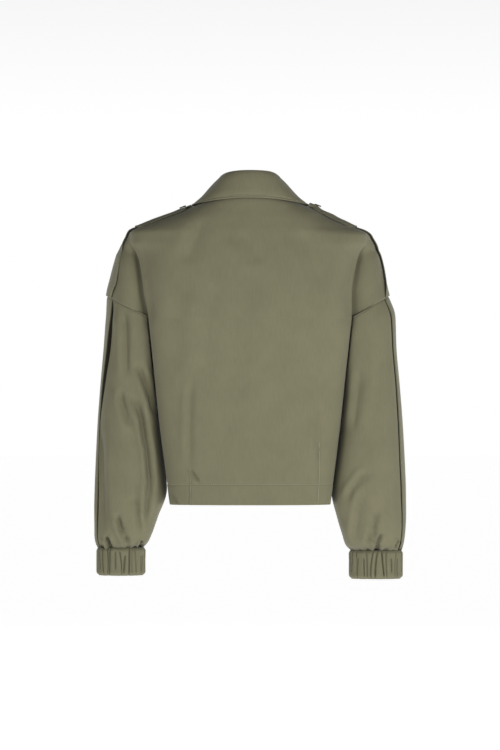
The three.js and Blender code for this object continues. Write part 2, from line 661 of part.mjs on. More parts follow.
// The collar: rings from the edge of the fall over the roll to the foot of the stand.
const collar = table("centre side half back front", [
  [34, 24, 86, 83, 42],
  [52, 42, 70, 79, 37],
  [63.5, 54, 58, 74, 33],
  [67, 59, 53, 70, 30],
  [65, 57, 49.5, 66, 27],
  [48, 38, 61, 69, 33],
]);
const COLLAR_ROWS = [0, 0.5, 1, 1.5, 2, 2.5, 3, 3.5, 4, 4.5, 5];
const COLLAR_STEPS = 20;
const COLLAR_FRONT_DROP = 16;
const FALL_EDGE_ROWS = [0.8, 1.25]; // the body's row under the edge, at the centre back and at the side
const FALL_EDGE_PACE = 1.25; // how soon the edge comes down to the row at the side
const FALL_LIFT = LAYER + CLOTH + 1; // the fall lies on the back
const FOOT_RISE = SEAM + 1; // the stand's foot is above the neck seam
function collarPoint(row, share) {
  const s = share * frontEdgeS(0);
  const behind = s <= 1;
  const angle = ((behind ? s : s - 1) * Math.PI) / 2;
  const along = power(behind ? Math.sin(angle) : Math.cos(angle), BACK_POWER);
  const across = power(behind ? Math.cos(angle) : Math.sin(angle), BACK_POWER);
  const widest = body.widest(0);
  const depth = behind ? -(collar.back(row) + widest) : collar.front(row) - widest;
  const drop = behind ? 0 : COLLAR_FRONT_DROP * (s - 1);
  const rise = behind ? along * along : 1;
  const z = mix(collar.centre(row), collar.side(row), rise) - drop;
  return new THREE.Vector3(collar.half(row) * along, widest + depth * across, z);
}
function collarSurface() {
  const surface = new Surface();
  const shares = Array.from({ length: COLLAR_STEPS + 1 }, (_, i) => (2 * i) / COLLAR_STEPS - 1);
  const mirror = (point, share) => point.setX(Math.sign(share) * point.x);
  const onBody = (row, lift, share) => {
    const s = Math.abs(share) * frontEdgeS(0);
    const [here, step] = [torsoPoint(row, s), 0.02];
    const down = torsoPoint(row + step, s).sub(here);
    const across = torsoPoint(row, s + step).sub(here);
    return here.addScaledVector(down.cross(across).normalize(), lift);
  };
  const edge = shares.map((share) => {
    const row = mix(...FALL_EDGE_ROWS, smooth(Math.abs(share) * FALL_EDGE_PACE));
    return mirror(onBody(row, FALL_LIFT, share), share);
  });
  const foot = shares.map((share) => {
    const point = onBody(0, -CLOTH, share);
    point.z += FOOT_RISE;
    return mirror(point, share);
  });
  const ring = (row) => shares.map((share) => mirror(collarPoint(row, Math.abs(share)), share));
  const rings = [foot, ...[...COLLAR_ROWS].reverse().map(ring), edge];
  const lines = rings.map((line) => line.map((point) => surface.add(point)));
  for (let i = 0; i + 1 < lines.length; i += 1) surface.zip(lines[i], lines[i + 1], shares, shares);
  return surface;
}
addPiece("collar", wall(collarSurface()));

// Shoulder straps, one on each shoulder over the flap, with a point near the neck.
const STRAP_ROWS = [1.35, 1.55, 1.75, 1.95, 3, 3.6, 4.1, 4.45];
const STRAP_REAR = -44;
const STRAP_FRONT = 2;
const STRAP_STEPS = 5;
const STRAP_TIP = { row: 1.95, rows: 0.6, narrower: 0.82 }; // where the strap starts to narrow to its point
const STRAP_LIFT = 2 * (LAYER + CLOTH) + 0.7;
const STRAP_DROP = { lift: 2, from: -24, to: -40 }; // behind the flap it comes down nearer to the back
function bodyAtDepth(row, y) {
  let [low, high] = [1, 2];
  for (let i = 0; i < 30; i += 1) {
    const middle = (low + high) / 2;
    if (bodyPoint(row, middle).y < y) low = middle;
    else high = middle;
  }
  return bodyPoint(row, low);
}
function strapSurface() {
  const surface = new Surface();
  const middle = (STRAP_REAR + STRAP_FRONT) / 2;
  const at = Array.from({ length: STRAP_STEPS + 1 }, (_, i) => i / STRAP_STEPS);
  const lines = STRAP_ROWS.map((row) => {
    const narrowed = 1 - STRAP_TIP.narrower * smooth((STRAP_TIP.row - row) / STRAP_TIP.rows);
    const width = (STRAP_FRONT - STRAP_REAR) * narrowed;
    return at.map((share) => surface.add(bodyAtDepth(row, middle + width * (share - 0.5))));
  });
  for (let i = 0; i + 1 < lines.length; i += 1) surface.zip(lines[i], lines[i + 1], at, at);
  const dropped = (y) => smooth((STRAP_DROP.from - y) / (STRAP_DROP.from - STRAP_DROP.to));
  return surface.moved((point) => STRAP_LIFT - STRAP_DROP.lift * dropped(point.y));
}
const strap = strapSurface();
addPiece("epaulette_right", wall(strap));
addPiece("epaulette_left", wall(strap.mirrored()));

// Buttons: plain discs, on the straps near the neck and down the closed front.
function button(name, centre, normal, radius, height) {
  const geometry = new THREE.CylinderGeometry(radius, radius, height, 20);
  const turn = new THREE.Quaternion().setFromUnitVectors(new THREE.Vector3(0, 1, 0), normal);
  geometry.applyQuaternion(turn).translate(centre.x, centre.y, centre.z);
  addPiece(name, geometry, BUTTON);
}
const STRAP_BUTTON = { radius: 6.5, height: 2.2, row: 1.75, column: 3, gap: 0.4 };
const strapMiddle = STRAP_ROWS.indexOf(STRAP_BUTTON.row) * (STRAP_STEPS + 1) + STRAP_BUTTON.column;
for (const [side, surface] of [["right", strap], ["left", strap.mirrored()]]) {
  const { normal } = surface.normals()[strapMiddle];
  const lift = STRAP_BUTTON.gap + STRAP_BUTTON.height / 2;
  const centre = surface.points[strapMiddle].clone().addScaledVector(normal, lift);
  button(`epaulette_button_${side}`, centre, normal, STRAP_BUTTON.radius, STRAP_BUTTON.height);
}
const FRONT_BUTTON = { radius: 9, height: 3, gap: 0.6, rows: [9.25, 10.15, 11.05] };
FRONT_BUTTON.rows.forEach((row, i) => {
  const point = torsoPoint(row, 2);
  point.y += FRONT_BUTTON.gap + FRONT_BUTTON.height / 2;
  const forwards = new THREE.Vector3(0, 1, 0);
  button(`front_button_${i + 1}`, point, forwards, FRONT_BUTTON.radius, FRONT_BUTTON.height);
});

// Cuffs gathered on elastic: ribs raised on the outside of a plain ring.
const CUFF_ROWS = [0, 0.12, 0.5, 0.88, 1];
const CUFF_BULGE = [0.35, 1, 1, 1, 0.35];
function cuffSurface(side, raised) {
  const cuff = cuffs[side];
  const surface = new Surface();
  const steps = CUFF_RIBS * CUFF_STEPS_PER_RIB;
  const at = Array.from({ length: steps + 1 }, (_, i) => i);
  const [x, rx] = [(cuff.inner + cuff.outer) / 2, (cuff.outer - cuff.inner) / 2];
  const lines = CUFF_ROWS.map((share, r) => {
    const numbers = [];
    for (let i = 0; i < steps; i += 1) {
      const angle = (i / steps) * 2 * Math.PI;
      const wave = 0.5 + 0.5 * Math.cos((i / CUFF_STEPS_PER_RIB) * 2 * Math.PI);
      const out = raised ? (wave * RIB_DEPTH + CUFF_SWELL) * CUFF_BULGE[r] : -CUFF_WALL;
      const z = mix(cuff.top, cuff.bottom, share);
      const point = new THREE.Vector3(
        x + (rx + out) * Math.cos(angle),
        cuff.y + (cuff.depth + out) * Math.sin(angle),
        z,
      );
      numbers.push(surface.add(point));
    }
    return [...numbers, numbers[0]];
  });
  for (let i = 0; i + 1 < lines.length; i += 1) surface.zip(lines[i], lines[i + 1], at, at);
  return surface;
}
const cuffFaces = (side) => [cuffSurface(side, true), cuffSurface(side, false)];
addPiece("cuff_right", wallBetween(...cuffFaces("right")));
addPiece("cuff_left", wallBetween(...cuffFaces("left").map((face) => face.mirrored())));

// Leans the whole garment a little, last of all, so that every piece moves with its neighbours.
function leanShift(z) {
  const { z: heights, shift } = LEAN_COLUMNS;
  const below = heights.findIndex((height) => height <= z);
  if (below === 0 || below === -1) return 0;
  const share = (heights[below - 1] - z) / (heights[below - 1] - heights[below]);
  return mix(shift[below - 1], shift[below], smooth(share));
}
for (const mesh of garment.children) {
  const place = mesh.geometry.attributes.position;
  for (let i = 0; i < place.count; i += 1) {
    const weight = smooth((Math.abs(place.getX(i)) - LEAN_FROM) / (LEAN_TO - LEAN_FROM));
    place.setX(i, place.getX(i) + weight * leanShift(place.getZ(i)));
  }
  mesh.geometry.computeVertexNormals();
}

export default garment;
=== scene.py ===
"""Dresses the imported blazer: thin cloth shells on its solids' forms, with folds, gathers and stitching.

Tables are in millimetres, in the frame's axes: the back faces -Y and +X is the wearer's right.
"""

import math

import bpy
import numpy as np
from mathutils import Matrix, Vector


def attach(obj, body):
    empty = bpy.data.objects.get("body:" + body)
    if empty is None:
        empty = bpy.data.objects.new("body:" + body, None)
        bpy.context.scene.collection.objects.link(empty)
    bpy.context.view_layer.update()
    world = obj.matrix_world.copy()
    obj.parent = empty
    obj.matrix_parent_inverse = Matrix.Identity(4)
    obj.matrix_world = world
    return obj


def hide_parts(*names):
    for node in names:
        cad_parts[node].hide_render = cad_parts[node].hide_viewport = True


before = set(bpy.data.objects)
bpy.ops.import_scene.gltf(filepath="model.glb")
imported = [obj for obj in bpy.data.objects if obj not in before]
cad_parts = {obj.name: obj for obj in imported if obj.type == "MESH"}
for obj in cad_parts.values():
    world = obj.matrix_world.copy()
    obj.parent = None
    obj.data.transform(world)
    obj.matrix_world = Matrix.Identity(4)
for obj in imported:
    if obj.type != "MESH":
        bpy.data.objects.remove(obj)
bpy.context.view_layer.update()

MM = 0.001
CLOTH = 1.5
LAYER = 0.6
OVERLAP = 20
TUCK_UNDER = 3.2
BREAK_Z = -190
LOWER_BREAK_Z = -146
NECK_V = 72
ARC_GAP = 0.6
BODY_CLEARANCE = 2.6
BELOW_HEM = 12
ARM_PIVOT = 187
ARMHOLE_ROW = 9
HEM_ROW = 13
HEM_STITCH_Z = -509
BACK_POWER = 0.82
FRONT_POWER = 0.88
PLEAT_LIP = 3.2
BOTTOM_SHARE = 0.9
SEAM_TILT = 0.53
SEAM_REACH = 0.4
STITCH_IN = 5
SEED = 11


# Numbers and tables


def smooth(t):
    t = np.clip(t, 0, 1)
    return t * t * (3 - 2 * t)


def mix(a, b, t):
    return a + (b - a) * t


def power(value, exponent):
    return np.sign(value) * np.abs(value) ** exponent


def hump(away, centre, width):
    return np.exp(-(((away - centre) / width) ** 2))


def through(values):
    """A smooth function of the row number that goes through the values and doesn't overshoot them."""
    values = np.array(values, float)
    steps = np.diff(values)
    before, after = steps[:-1], steps[1:]
    turning = before * after <= 0
    total = np.where(turning, 1, before + after)
    slopes = np.concatenate([steps[:1], np.where(turning, 0, 2 * before * after / total), steps[-1:]])

    def at(row):
        row = np.clip(row, 0, len(values) - 1)
        i = np.minimum(np.floor(row), len(values) - 2).astype(int)
        t = row - i
        rise = t * t * (3 - 2 * t)
        curve = slopes[i] * t * (1 - t) ** 2 - slopes[i + 1] * t * t * (1 - t)
        return values[i] * (1 - rise) + values[i + 1] * rise + curve

    return at


class Table:
    """Rows of numbers with named columns, each a smooth function of the row number."""

    def __init__(self, names, rows):
        for name, column in zip(names.split(), zip(*rows)):
            setattr(self, name, through(column))


BODY = Table(
    "centre side half back front widest fold front_fold arm",
    [
        [24, 12, 80, 78, 42, -6, 0.62, 1.3, 0],
        [12, 4, 101, 83, 52, -5, 0.64, 1.3, 0],
        [-4, -7, 131, 87, 62, -4, 0.67, 1.3, 0],
        [-19, -20, 166, 91, 72, -4, 0.71, 1.3, 0],
        [-33, -33, 196, 94, 80, -5, 0.77, 1.3, 0.06],
        [-46, -46, 218, 97, 86, -9, 0.85, 1.28, 0.32],
        [-62, -62, 215, 100, 92, -20, 0.94, 1.26, 0.68],
        [-96, -96, 200, 106, 104, -42, 1.02, 1.3, 1],
        [-150, -150, 192, 112, 116, -56, 1.022, 1.345, 1],
        [-203, -203, 187, 115, 121, -54, 1.015, 1.366, 1],
        [-300, -300, 177, 112, 117, -48, 0.97, 1.38, 1],
        [-400, -400, 166.5, 108, 112, -45, 0.95, 1.38, 1],
        [-509, -509, 152.5, 105, 110, -43, 0.94, 1.38, 1],
        [-547, -547, 147.5, 104.5, 109.5, -42, 0.94, 1.38, 1],
    ],
)
YOKE_ARM = Table(
    "inner outer back front tilt",
    [
        *[[150, 218, -30, 34, 0]] * 4,
        [150, 200, -30, 44, 0],
        [150, 219, -32, 56, 0.02],
        [150, 231, -39, 70, 0.06],
        [150, 242, -46, 81, 0.17],
        [150, 253.5, -49, 89, 0.34],
        [150, 261.5, -50, 92, SEAM_TILT],
    ],
)
SLEEVE_COLUMNS = "z tilt inner outer back front pleat gap depth"
SLEEVES = {
    "left": Table(
        SLEEVE_COLUMNS,
        [
            [-203.3, SEAM_TILT, 150, 261.5, -50, 92, 36, 2, 6],
            [-235, 0.42, 156, 267, -51, 93, 36.5, 10, 24],
            [-280, 0.26, 163, 271.5, -52, 93, 35, 16, 24],
            [-335, 0.13, 167, 277.5, -53, 93, 29.5, 14, 24],
            [-400, 0.05, 165, 283, -54, 94, 24.5, 5, 22],
            [-460, 0, 159, 286, -54, 95, 25, 3, 19],
            [-520, 0, 154, 288, -50, 93, 27, 3, 17],
            [-570, 0, 170, 289, -41, 85, 28, 3, 14],
            [-603, 0, 181.5, 289, -31, 77, 28, 3, 10],
            [-620, 0, 189.5, 287, -20, 70, 28, 2.4, 7],
            [-629, 0, 197.5, 283.5, -6, 63, 28, 2, 4],
        ],
    ),
    "right": Table(
        SLEEVE_COLUMNS,
        [
            [-203.3, SEAM_TILT, 150, 261.5, -50, 92, 33, 1.2, 6],
            [-235, 0.42, 156, 270, -51, 93, 31, 4, 24],
            [-280, 0.26, 163, 272, -52, 93, 30, 5, 24],
            [-335, 0.13, 167, 277.5, -53, 93, 30, 5.5, 24],
            [-400, 0.05, 165, 283, -54, 94, 31, 4.5, 22],
            [-460, 0, 158, 286.5, -54, 95, 31, 3.5, 20],
            [-520, 0, 150.5, 289, -50, 93, 29, 3.5, 18],
            [-570, 0, 160.5, 289.5, -41, 85, 28, 3.5, 14],
            [-604, 0, 170.5, 288, -31, 76, 28, 3, 10],
            [-624, 0, 177, 285, -20, 68, 28, 2.4, 7],
            [-634, 0, 186, 282, -1, 58, 28, 2, 4],
        ],
    ),
}
CUFFS = {
    "left": {"top": -629.3, "bottom": -681.5, "inner": 197.5, "outer": 281.5, "y": 28, "depth": 34},
    "right": {"top": -634.3, "bottom": -688, "inner": 187, "outer": 280, "y": 28.5, "depth": 29.5},
}
COLLAR = Table(
    "centre side half back front",
    [
        [34, 24, 86, 83, 42],
        [52, 42, 70, 79, 37],
        [63.5, 54, 58, 74, 33],
        [67, 59, 53, 70, 30],
        [65, 57, 49.5, 66, 27],
        [48, 38, 61, 69, 33],
    ],
)
COLLAR_FRONT_DROP = 16
COLLAR_FOOT_RISE = 1.3
COLLAR_STITCH_IN = 6
ROLL_FLATTER, ROLL_FLATTER_FROM = 1.6, 0.6
FALL_LENGTH, FALL_LIFT = 22, 1
FALL_EDGE_ROWS = (0.8, 1.25)
FALL_EDGE_PACE = 1.25
LEAN_Z = [40, 2, -8, -22, -37, -52, -67, -82, -150, -205]
LEAN_LEFT = [0, 0, 4, 0.8, -3, -5.3, -6.8, -4.5, -4.5, 0]
LEAN_RIGHT = [0, 0, -4, -12, -12, 0.6, 1.2, -2.5, -4.5, 0]
LEAN_FROM, LEAN_TO = 90, 150

# Folds of each piece seen from the back (-1) or the front (1). Each has the depth of its trough, negative
# for a ridge, half its width, and the line of (x, z) points that it follows.
FOLDS = {
    ("sleeve_left", -1): [
        (3.6, 7, [(-240, -338), (-227, -343), (-210, -360), (-199, -386), (-194, -418),
                (-188, -448), (-184, -496), (-180, -552)]),
        (3.0, 8, [(-211, -281), (-194, -319), (-181, -353), (-176, -388)]),
        (2.6, 9, [(-234, -180), (-229, -226), (-228, -272), (-225, -320)]),
        (2.4, 8, [(-240, -329), (-236, -353), (-230, -377), (-224, -394), (-213, -404)]),
        (1.8, 6, [(-217, -490), (-214, -515), (-209, -548), (-204, -590), (-204, -615)]),
        (3.0, 6, [(-247, -560), (-238, -592), (-229, -611), (-225, -632)]),
        (4.6, 4, [(-267, -606), (-262, -618), (-257, -632)]),
        (3.0, 3.5, [(-198, -614), (-202, -624), (-206, -632)]),
        (2.6, 7, [(-187, -500), (-188, -545), (-190, -585)]),
        (2.2, 9, [(-276, -395), (-275, -485), (-272, -560), (-271, -610)]),
    ],
    ("sleeve_right", -1): [
        (2.6, 8, [(222, -482), (206, -496), (188, -520), (178, -545)]),
        (2.4, 9, [(210, -505), (203, -545), (196, -590), (192, -625)]),
        (3.0, 7, [(238, -550), (229, -585), (219, -620), (216, -634)]),
        (3.6, 4.5, [(244, -598), (235, -618), (236, -638)]),
        (3.6, 4, [(277, -612), (267, -634)]),
        (1.6, 12, [(247, -250), (240, -330), (230, -400)]),
        (1.8, 9, [(203, -290), (196, -360), (188, -420)]),
    ],
    ("sleeve_left", 1): [
        (3.2, 9, [(-196, -290), (-212, -330), (-236, -352)]),
        (2.8, 9, [(-190, -340), (-205, -385), (-232, -412)]),
        (2.6, 8, [(-214, -520), (-226, -565), (-230, -610)]),
        (3.4, 5, [(-256, -598), (-250, -628)]),
    ],
    ("sleeve_right", 1): [
        (3.2, 9, [(194, -284), (214, -322), (240, -340)]),
        (2.8, 9, [(188, -352), (206, -392), (236, -416)]),
        (2.4, 8, [(210, -505), (222, -560), (226, -608)]),
        (3.4, 5, [(252, -600), (246, -632)]),
    ],
    ("back", -1): [
        (3.2, 24, [(-206, -40), (-196, -90), (-188, -160), (-184, -230)]),
        (2.6, 24, [(206, -44), (196, -90), (188, -160), (184, -230)]),
        (-1.6, 30, [(-120, -150), (-96, -210), (-84, -300)]),
        (1.3, 17, [(-22, -41), (0, -74), (26, -110)]),
        (1.5, 18, [(-83, -20), (-100, -60), (-118, -110)]),
        (1.5, 20, [(86, -31), (112, -90), (134, -160)]),
        (1.2, 22, [(-60, -120), (-76, -210), (-84, -320)]),
        (1.0, 24, [(50, -150), (58, -260), (62, -380)]),
        (-1.2, 24, [(8, -130), (4, -280), (-4, -430)]),
        (1.4, 8, [(-104, -300), (-109, -350), (-111, -411), (-110, -490)]),
        (1.8, 3, [(-110, -478), (-102, -492), (-92, -506)]),
        (1.2, 8, [(122, -340), (125, -400), (125, -450), (125, -490)]),
        (1.5, 4, [(-146, -522), (-139, -536), (-132, -547)]),
    ],
    ("front_right", 1): [
        (1.8, 14, [(112, -150), (92, -190), (66, -222)]),
        (1.4, 18, [(80, -260), (72, -360), (70, -470)]),
    ],
    ("front_left", 1): [
        (1.8, 14, [(-114, -150), (-92, -192), (-62, -226)]),
        (1.4, 18, [(-84, -270), (-78, -380), (-74, -480)]),
    ],
}
# The two stitched tucks at the hem of the back.
TUCKS = [
    [(-110.5, -496), (-111, -520), (-112, -548)],
    [(125, -432), (125, -487), (122, -547)],
]
TUCK_DEPTH, TUCK_WIDTH = 1.5, 1.7
TUCK_RIDGE, TUCK_RIDGE_AT, TUCK_RIDGE_WIDTH = 0.8, 4, 3
TUCK_STITCH_IN = 2.2


# The forms of the solids


def torso_point(row, s):
    row, s = np.broadcast_arrays(np.asarray(row, float), np.asarray(s, float))
    widest = BODY.widest(row)
    behind = s <= 1
    angle = np.where(behind, s, s - 1) * math.pi / 2
    exponent = np.where(behind, BACK_POWER, FRONT_POWER)
    sine, cosine = np.sin(angle), np.cos(angle)
    along = power(np.where(behind, sine, cosine), exponent)
    across = power(np.where(behind, cosine, sine), exponent)
    depth = np.where(behind, -(BODY.back(row) + widest), BODY.front(row) - widest)
    z = mix(BODY.centre(row), BODY.side(row), np.where(behind, along * along, 1))
    return np.stack([BODY.half(row) * along, widest + depth * across, z], -1)


ROW_STEPS = np.linspace(0, HEM_ROW, 5201)
ROW_HEIGHTS = -BODY.side(ROW_STEPS)


def torso_side(y, z):
    row = np.interp(-z, ROW_HEIGHTS, ROW_STEPS)
    widest = BODY.widest(row)
    behind = y < widest
    depth = np.where(behind, BODY.back(row) + widest, BODY.front(row) - widest)
    exponent = 1 / np.where(behind, BACK_POWER, FRONT_POWER)
    share = np.clip(np.abs(y - widest) / depth, 0, 1) ** (2 * exponent)
    return BODY.half(row) * (1 - share) ** (0.5 / exponent)


def front_edge_s(row):
    share = np.clip((BODY.side(row) - BREAK_Z) / (BODY.side(0) - BREAK_Z), 0, 1)
    edge = mix(-OVERLAP, NECK_V, share**0.95)
    cosine = power(np.clip(edge / BODY.half(row), -1, 1), 1 / FRONT_POWER)
    return 1 + np.arccos(cosine) / (math.pi / 2)


def body_point(row, q, under=False):
    """A point of the half where x is positive. q: 0 centre back, 1 fold behind the arm, 1.5 shoulder and
    outer arm or side seam, 2 fold before the arm, 3 the front's free edge."""
    row, q = np.broadcast_arrays(np.asarray(row, float), np.asarray(q, float))
    fold, front_fold, arm = BODY.fold(row), BODY.front_fold(row), BODY.arm(row)
    start, end = torso_point(row, fold), torso_point(row, front_fold)
    fading = SEAM_TILT * np.clip(ARMHOLE_ROW + 1 - row, 0, 1)
    tilt = np.where(row <= ARMHOLE_ROW, YOKE_ARM.tilt(np.minimum(row, ARMHOLE_ROW)), fading)

    behind = torso_point(row, fold * q)
    before = torso_point(row, mix(front_fold, front_edge_s(row), q - 2))
    before[..., 2] += tilt * (end[..., 0] - start[..., 0]) * arm

    t = np.clip(q - 1, 0, 1)
    peak = np.maximum(1, fold)
    over = np.where(t < 0.5, mix(fold, peak, 2 * t), mix(peak, front_fold, 2 * t - 1))
    below = (row > ARMHOLE_ROW) | under
    on_torso = torso_point(row, np.where(below, mix(fold, front_fold, t), over))
    radius_x = (YOKE_ARM.outer(row) - YOKE_ARM.inner(row)) / 2
    radius_y = (YOKE_ARM.front(row) - YOKE_ARM.back(row)) / 2
    middle_x = YOKE_ARM.inner(row) + radius_x
    middle_y = YOKE_ARM.back(row) + radius_y
    nearest = np.where((t < 0.5)[..., None], start, end)
    away = np.abs(2 * t - 1)
    turn = np.arctan2((nearest[..., 1] - middle_y) / radius_y, (nearest[..., 0] - middle_x) / radius_x)
    miss_x = nearest[..., 0] - middle_x - radius_x * np.cos(turn)
    miss_y = nearest[..., 1] - middle_y - radius_y * np.sin(turn)
    arm_x = middle_x + radius_x * np.cos(turn * away) + away * away * miss_x
    arm_y = middle_y + radius_y * np.sin(turn * away) + away * away * miss_y
    on_arm = np.stack([arm_x, arm_y, start[..., 2]], -1)
    blend = np.where(below, 0, arm)[..., None]
    middle = on_torso * (1 - blend) + on_arm * blend
    middle[..., 2] += tilt * (middle[..., 0] - start[..., 0]) * np.where(below, 1, arm)
    return np.where((q <= 1)[..., None], behind, np.where((q >= 2)[..., None], before, middle))


def lean(points):
    """The sideways shift of each shoulder, because the wearer's left shoulder sits higher."""
    points = points.copy()
    z = points[..., 2]
    below = np.clip(np.searchsorted(-np.array(LEAN_Z), -z, side="left"), 1, len(LEAN_Z) - 1)
    heights = np.array(LEAN_Z, float)
    share = smooth((heights[below - 1] - z) / (heights[below - 1] - heights[below]))
    left, right = np.array(LEAN_LEFT), np.array(LEAN_RIGHT)
    shift = np.where(
        points[..., 0] < 0,
        mix(left[below - 1], left[below], share),
        mix(right[below - 1], right[below], share),
    )
    weight = smooth((np.abs(points[..., 0]) - LEAN_FROM) / (LEAN_TO - LEAN_FROM))
    points[..., 0] += weight * shift
    return points


# Meshes


class Cloth:
    """Points, faces and cloth coordinates of one piece, in millimetres. grids keeps the rows of points."""

    def __init__(self):
        self.points = np.zeros((0, 3))
        self.cloth_uv = np.zeros((0, 2))
        # Per point, how much painted shade darkens the colour inside a pleat, or None.
        self.inside = None
        self.faces = []
        self.grids = []

    def add_grid(self, points, closed=False, shared=None):
        """Adds rows of points. shared: numbers that the first row's points already have, or -1."""
        rows, columns = points.shape[:2]
        numbers = len(self.points) + np.arange(rows * columns).reshape(rows, columns)
        if shared is not None:
            numbers[0] = np.where(shared >= 0, shared, numbers[0])
        across = np.linalg.norm(np.diff(points, axis=1), axis=2)
        down = np.linalg.norm(np.diff(points, axis=0), axis=2)
        u = np.concatenate([np.zeros((rows, 1)), np.cumsum(across, axis=1)], axis=1)
        u -= u[:, columns // 2][:, None]
        v = np.concatenate([np.zeros((1, columns)), np.cumsum(down, axis=0)], axis=0)
        v = np.repeat(v.mean(axis=1)[:, None], columns, axis=1) - points[0, :, 2].mean()
        self.points = np.concatenate([self.points, points.reshape(-1, 3)])
        self.cloth_uv = np.concatenate([self.cloth_uv, np.stack([u, -v], -1).reshape(-1, 2)])
        self.grids.append(numbers)
        right = np.roll(numbers, -1, axis=1) if closed else numbers[:, 1:]
        left = numbers if closed else numbers[:, :-1]
        corners = [left[:-1], left[1:], right[1:], right[:-1]]
        self.faces.append(np.stack(corners, -1).reshape(-1, 4))
        return numbers

    def mirror(self):
        self.points = self.points * [-1, 1, 1]
        self.faces = [f[:, ::-1] for f in self.faces]
        return self

    def all_faces(self):
        return np.concatenate(self.faces)

    def normals(self):
        faces = self.all_faces()
        corner = self.points[faces]
        normal = np.cross(corner[:, 2] - corner[:, 0], corner[:, 3] - corner[:, 1])
        total = np.zeros_like(self.points)
        for i in range(4):
            np.add.at(total, faces[:, i], normal)
        return total / np.maximum(np.linalg.norm(total, axis=1), 1e-9)[:, None]

    def push(self, out):
        """Moves each point out along its normal."""
        self.points = self.points + self.normals() * np.asarray(out).reshape(-1, 1)
        return self


def on_side(cloth, side):
    """Turns over a piece made for the wearer's right if it is a left one, and leans it with the shoulder."""
    if side == "left":
        cloth.mirror()
    cloth.points = lean(cloth.points)
    return cloth


def to_line(x, z, path):
    """Distance to a line of (x, z) points, how far along it the nearest place is, from 0 to 1, and the side."""
    path = np.array(path, float)
    lengths = np.linalg.norm(np.diff(path, axis=0), axis=1)
    begins = np.concatenate([[0], np.cumsum(lengths)])
    best, along, side = np.full(x.shape, 1e9), np.zeros(x.shape), np.ones(x.shape)
    for i, length in enumerate(lengths):
        dx, dz = (path[i + 1] - path[i]) / length
        t = np.clip((x - path[i, 0]) * dx + (z - path[i, 1]) * dz, 0, length)
        away = np.hypot(x - path[i, 0] - t * dx, z - path[i, 1] - t * dz)
        nearer = away < best
        best = np.where(nearer, away, best)
        along = np.where(nearer, (begins[i] + t) / begins[-1], along)
        side = np.where(nearer, np.sign(dx * (z - path[i, 1]) - dz * (x - path[i, 0])), side)
    return best, along, side


FOLD_NARROWER = 0.8
FOLD_DEEPER = {"sleeve_left": 2.8, "sleeve_right": 2.1, "back": 2.3, "front_left": 1.6, "front_right": 1.6}
FOLD_RIDGES = (0.6, 0.22)
FOLD_RIDGE_AT, FOLD_RIDGE_WIDTH = 1.9, 0.95
FOLD_ENDS = 0.28
FOLD_REACH = 4


def press_folds(cloth, piece):
    """Presses a piece's listed folds into it: soft troughs, each with a higher ridge on its left."""
    normals = cloth.normals()
    x, z = cloth.points[:, 0], cloth.points[:, 2]
    out = np.zeros(len(x))
    folds = [(facing, *fold) for (name, facing), rows in FOLDS.items() if name == piece for fold in rows]
    for facing, depth, width, path in folds:
        away, along, side = to_line(x, z, path)
        t = away / (FOLD_NARROWER * width)
        ridge = np.where(side < 0, *FOLD_RIDGES)
        profile = np.exp(-np.abs(t) ** 1.3) - ridge * hump(t, FOLD_RIDGE_AT, FOLD_RIDGE_WIDTH)
        fade = smooth(along / FOLD_ENDS) * smooth((1 - along) / FOLD_ENDS)
        fade = np.where(away < FOLD_REACH * width, fade, 0)
        out -= FOLD_DEEPER[piece] * depth * profile * fade * smooth(normals[:, 1] * facing * 2.2)
    return cloth.push(out)


def press_tucks(cloth):
    x, z = cloth.points[:, 0], cloth.points[:, 2]
    behind = cloth.points[:, 1] < 0
    out = np.zeros(len(x))
    for path in TUCKS:
        away, along, _ = to_line(x, z, path)
        fade = smooth(along / 0.12)
        side = np.sign(x - np.interp(-z, [-p[1] for p in path], [p[0] for p in path]))
        out -= TUCK_DEPTH * hump(away, 0, TUCK_WIDTH) * fade
        out += TUCK_RIDGE * hump(away, TUCK_RIDGE_AT, TUCK_RIDGE_WIDTH) * fade * (side > 0)
    return cloth.push(out * behind)


def ripple(cloth, amount, length, seed):
    """Faint unevenness, as sums of long waves across the cloth."""
    rng = np.random.default_rng(seed)
    u, v = cloth.cloth_uv.T
    out = np.zeros(len(u))
    for _ in range(7):
        angle = rng.uniform(-0.7, 0.7)
        size = length * rng.uniform(0.6, 1.6)
        wave = np.sin((u * np.cos(angle) + v * np.sin(angle) * 0.45) * 2 * np.pi / size + rng.uniform(0, 6.28))
        out += wave * amount / 3
    return cloth.push(out)


def even(points, count):
    """Shares from 0 to 1 at which a line of points is divided into even lengths."""
    lengths = np.concatenate([[0], np.cumsum(np.linalg.norm(np.diff(points, axis=0), axis=1))])
    return np.interp(np.linspace(0, lengths[-1], count + 1), lengths, np.linspace(0, 1, len(points)))


def even_columns(row, low, high, count, under=False):
    q = np.linspace(low, high, 600)
    return low + (high - low) * even(body_point(row, q, under), count)


def even_rows(low, high, step, extra=()):
    """Rows of the body about step apart in height, and closer round the extra heights."""
    row = np.linspace(low, high, 3000)
    height = -BODY.side(row)
    places = list(np.linspace(height[0], height[-1], round((height[-1] - height[0]) / step) + 1))
    for z in extra:
        places += [-z + offset for offset in (-2.4, -1.2, 0, 1.2, 2.4) if height[0] < -z + offset < height[-1]]
    return np.interp(sorted(places), height, row)


def graded(length, coarse=2.4, fine=0.8, zone=9, ends=(True, True)):
    """Shares from 0 to 1 along a length in mm, closer together near the ends that are asked for."""
    first = np.arange(0, zone, fine) if ends[0] else np.array([0.0])
    last = length - (np.arange(0, zone, fine) if ends[1] else np.array([0.0]))[::-1]
    steps = max(2, round((last[0] - first[-1]) / coarse))
    middle = np.linspace(first[-1], last[0], steps + 1)[1:-1]
    return np.concatenate([first, middle, last]) / length


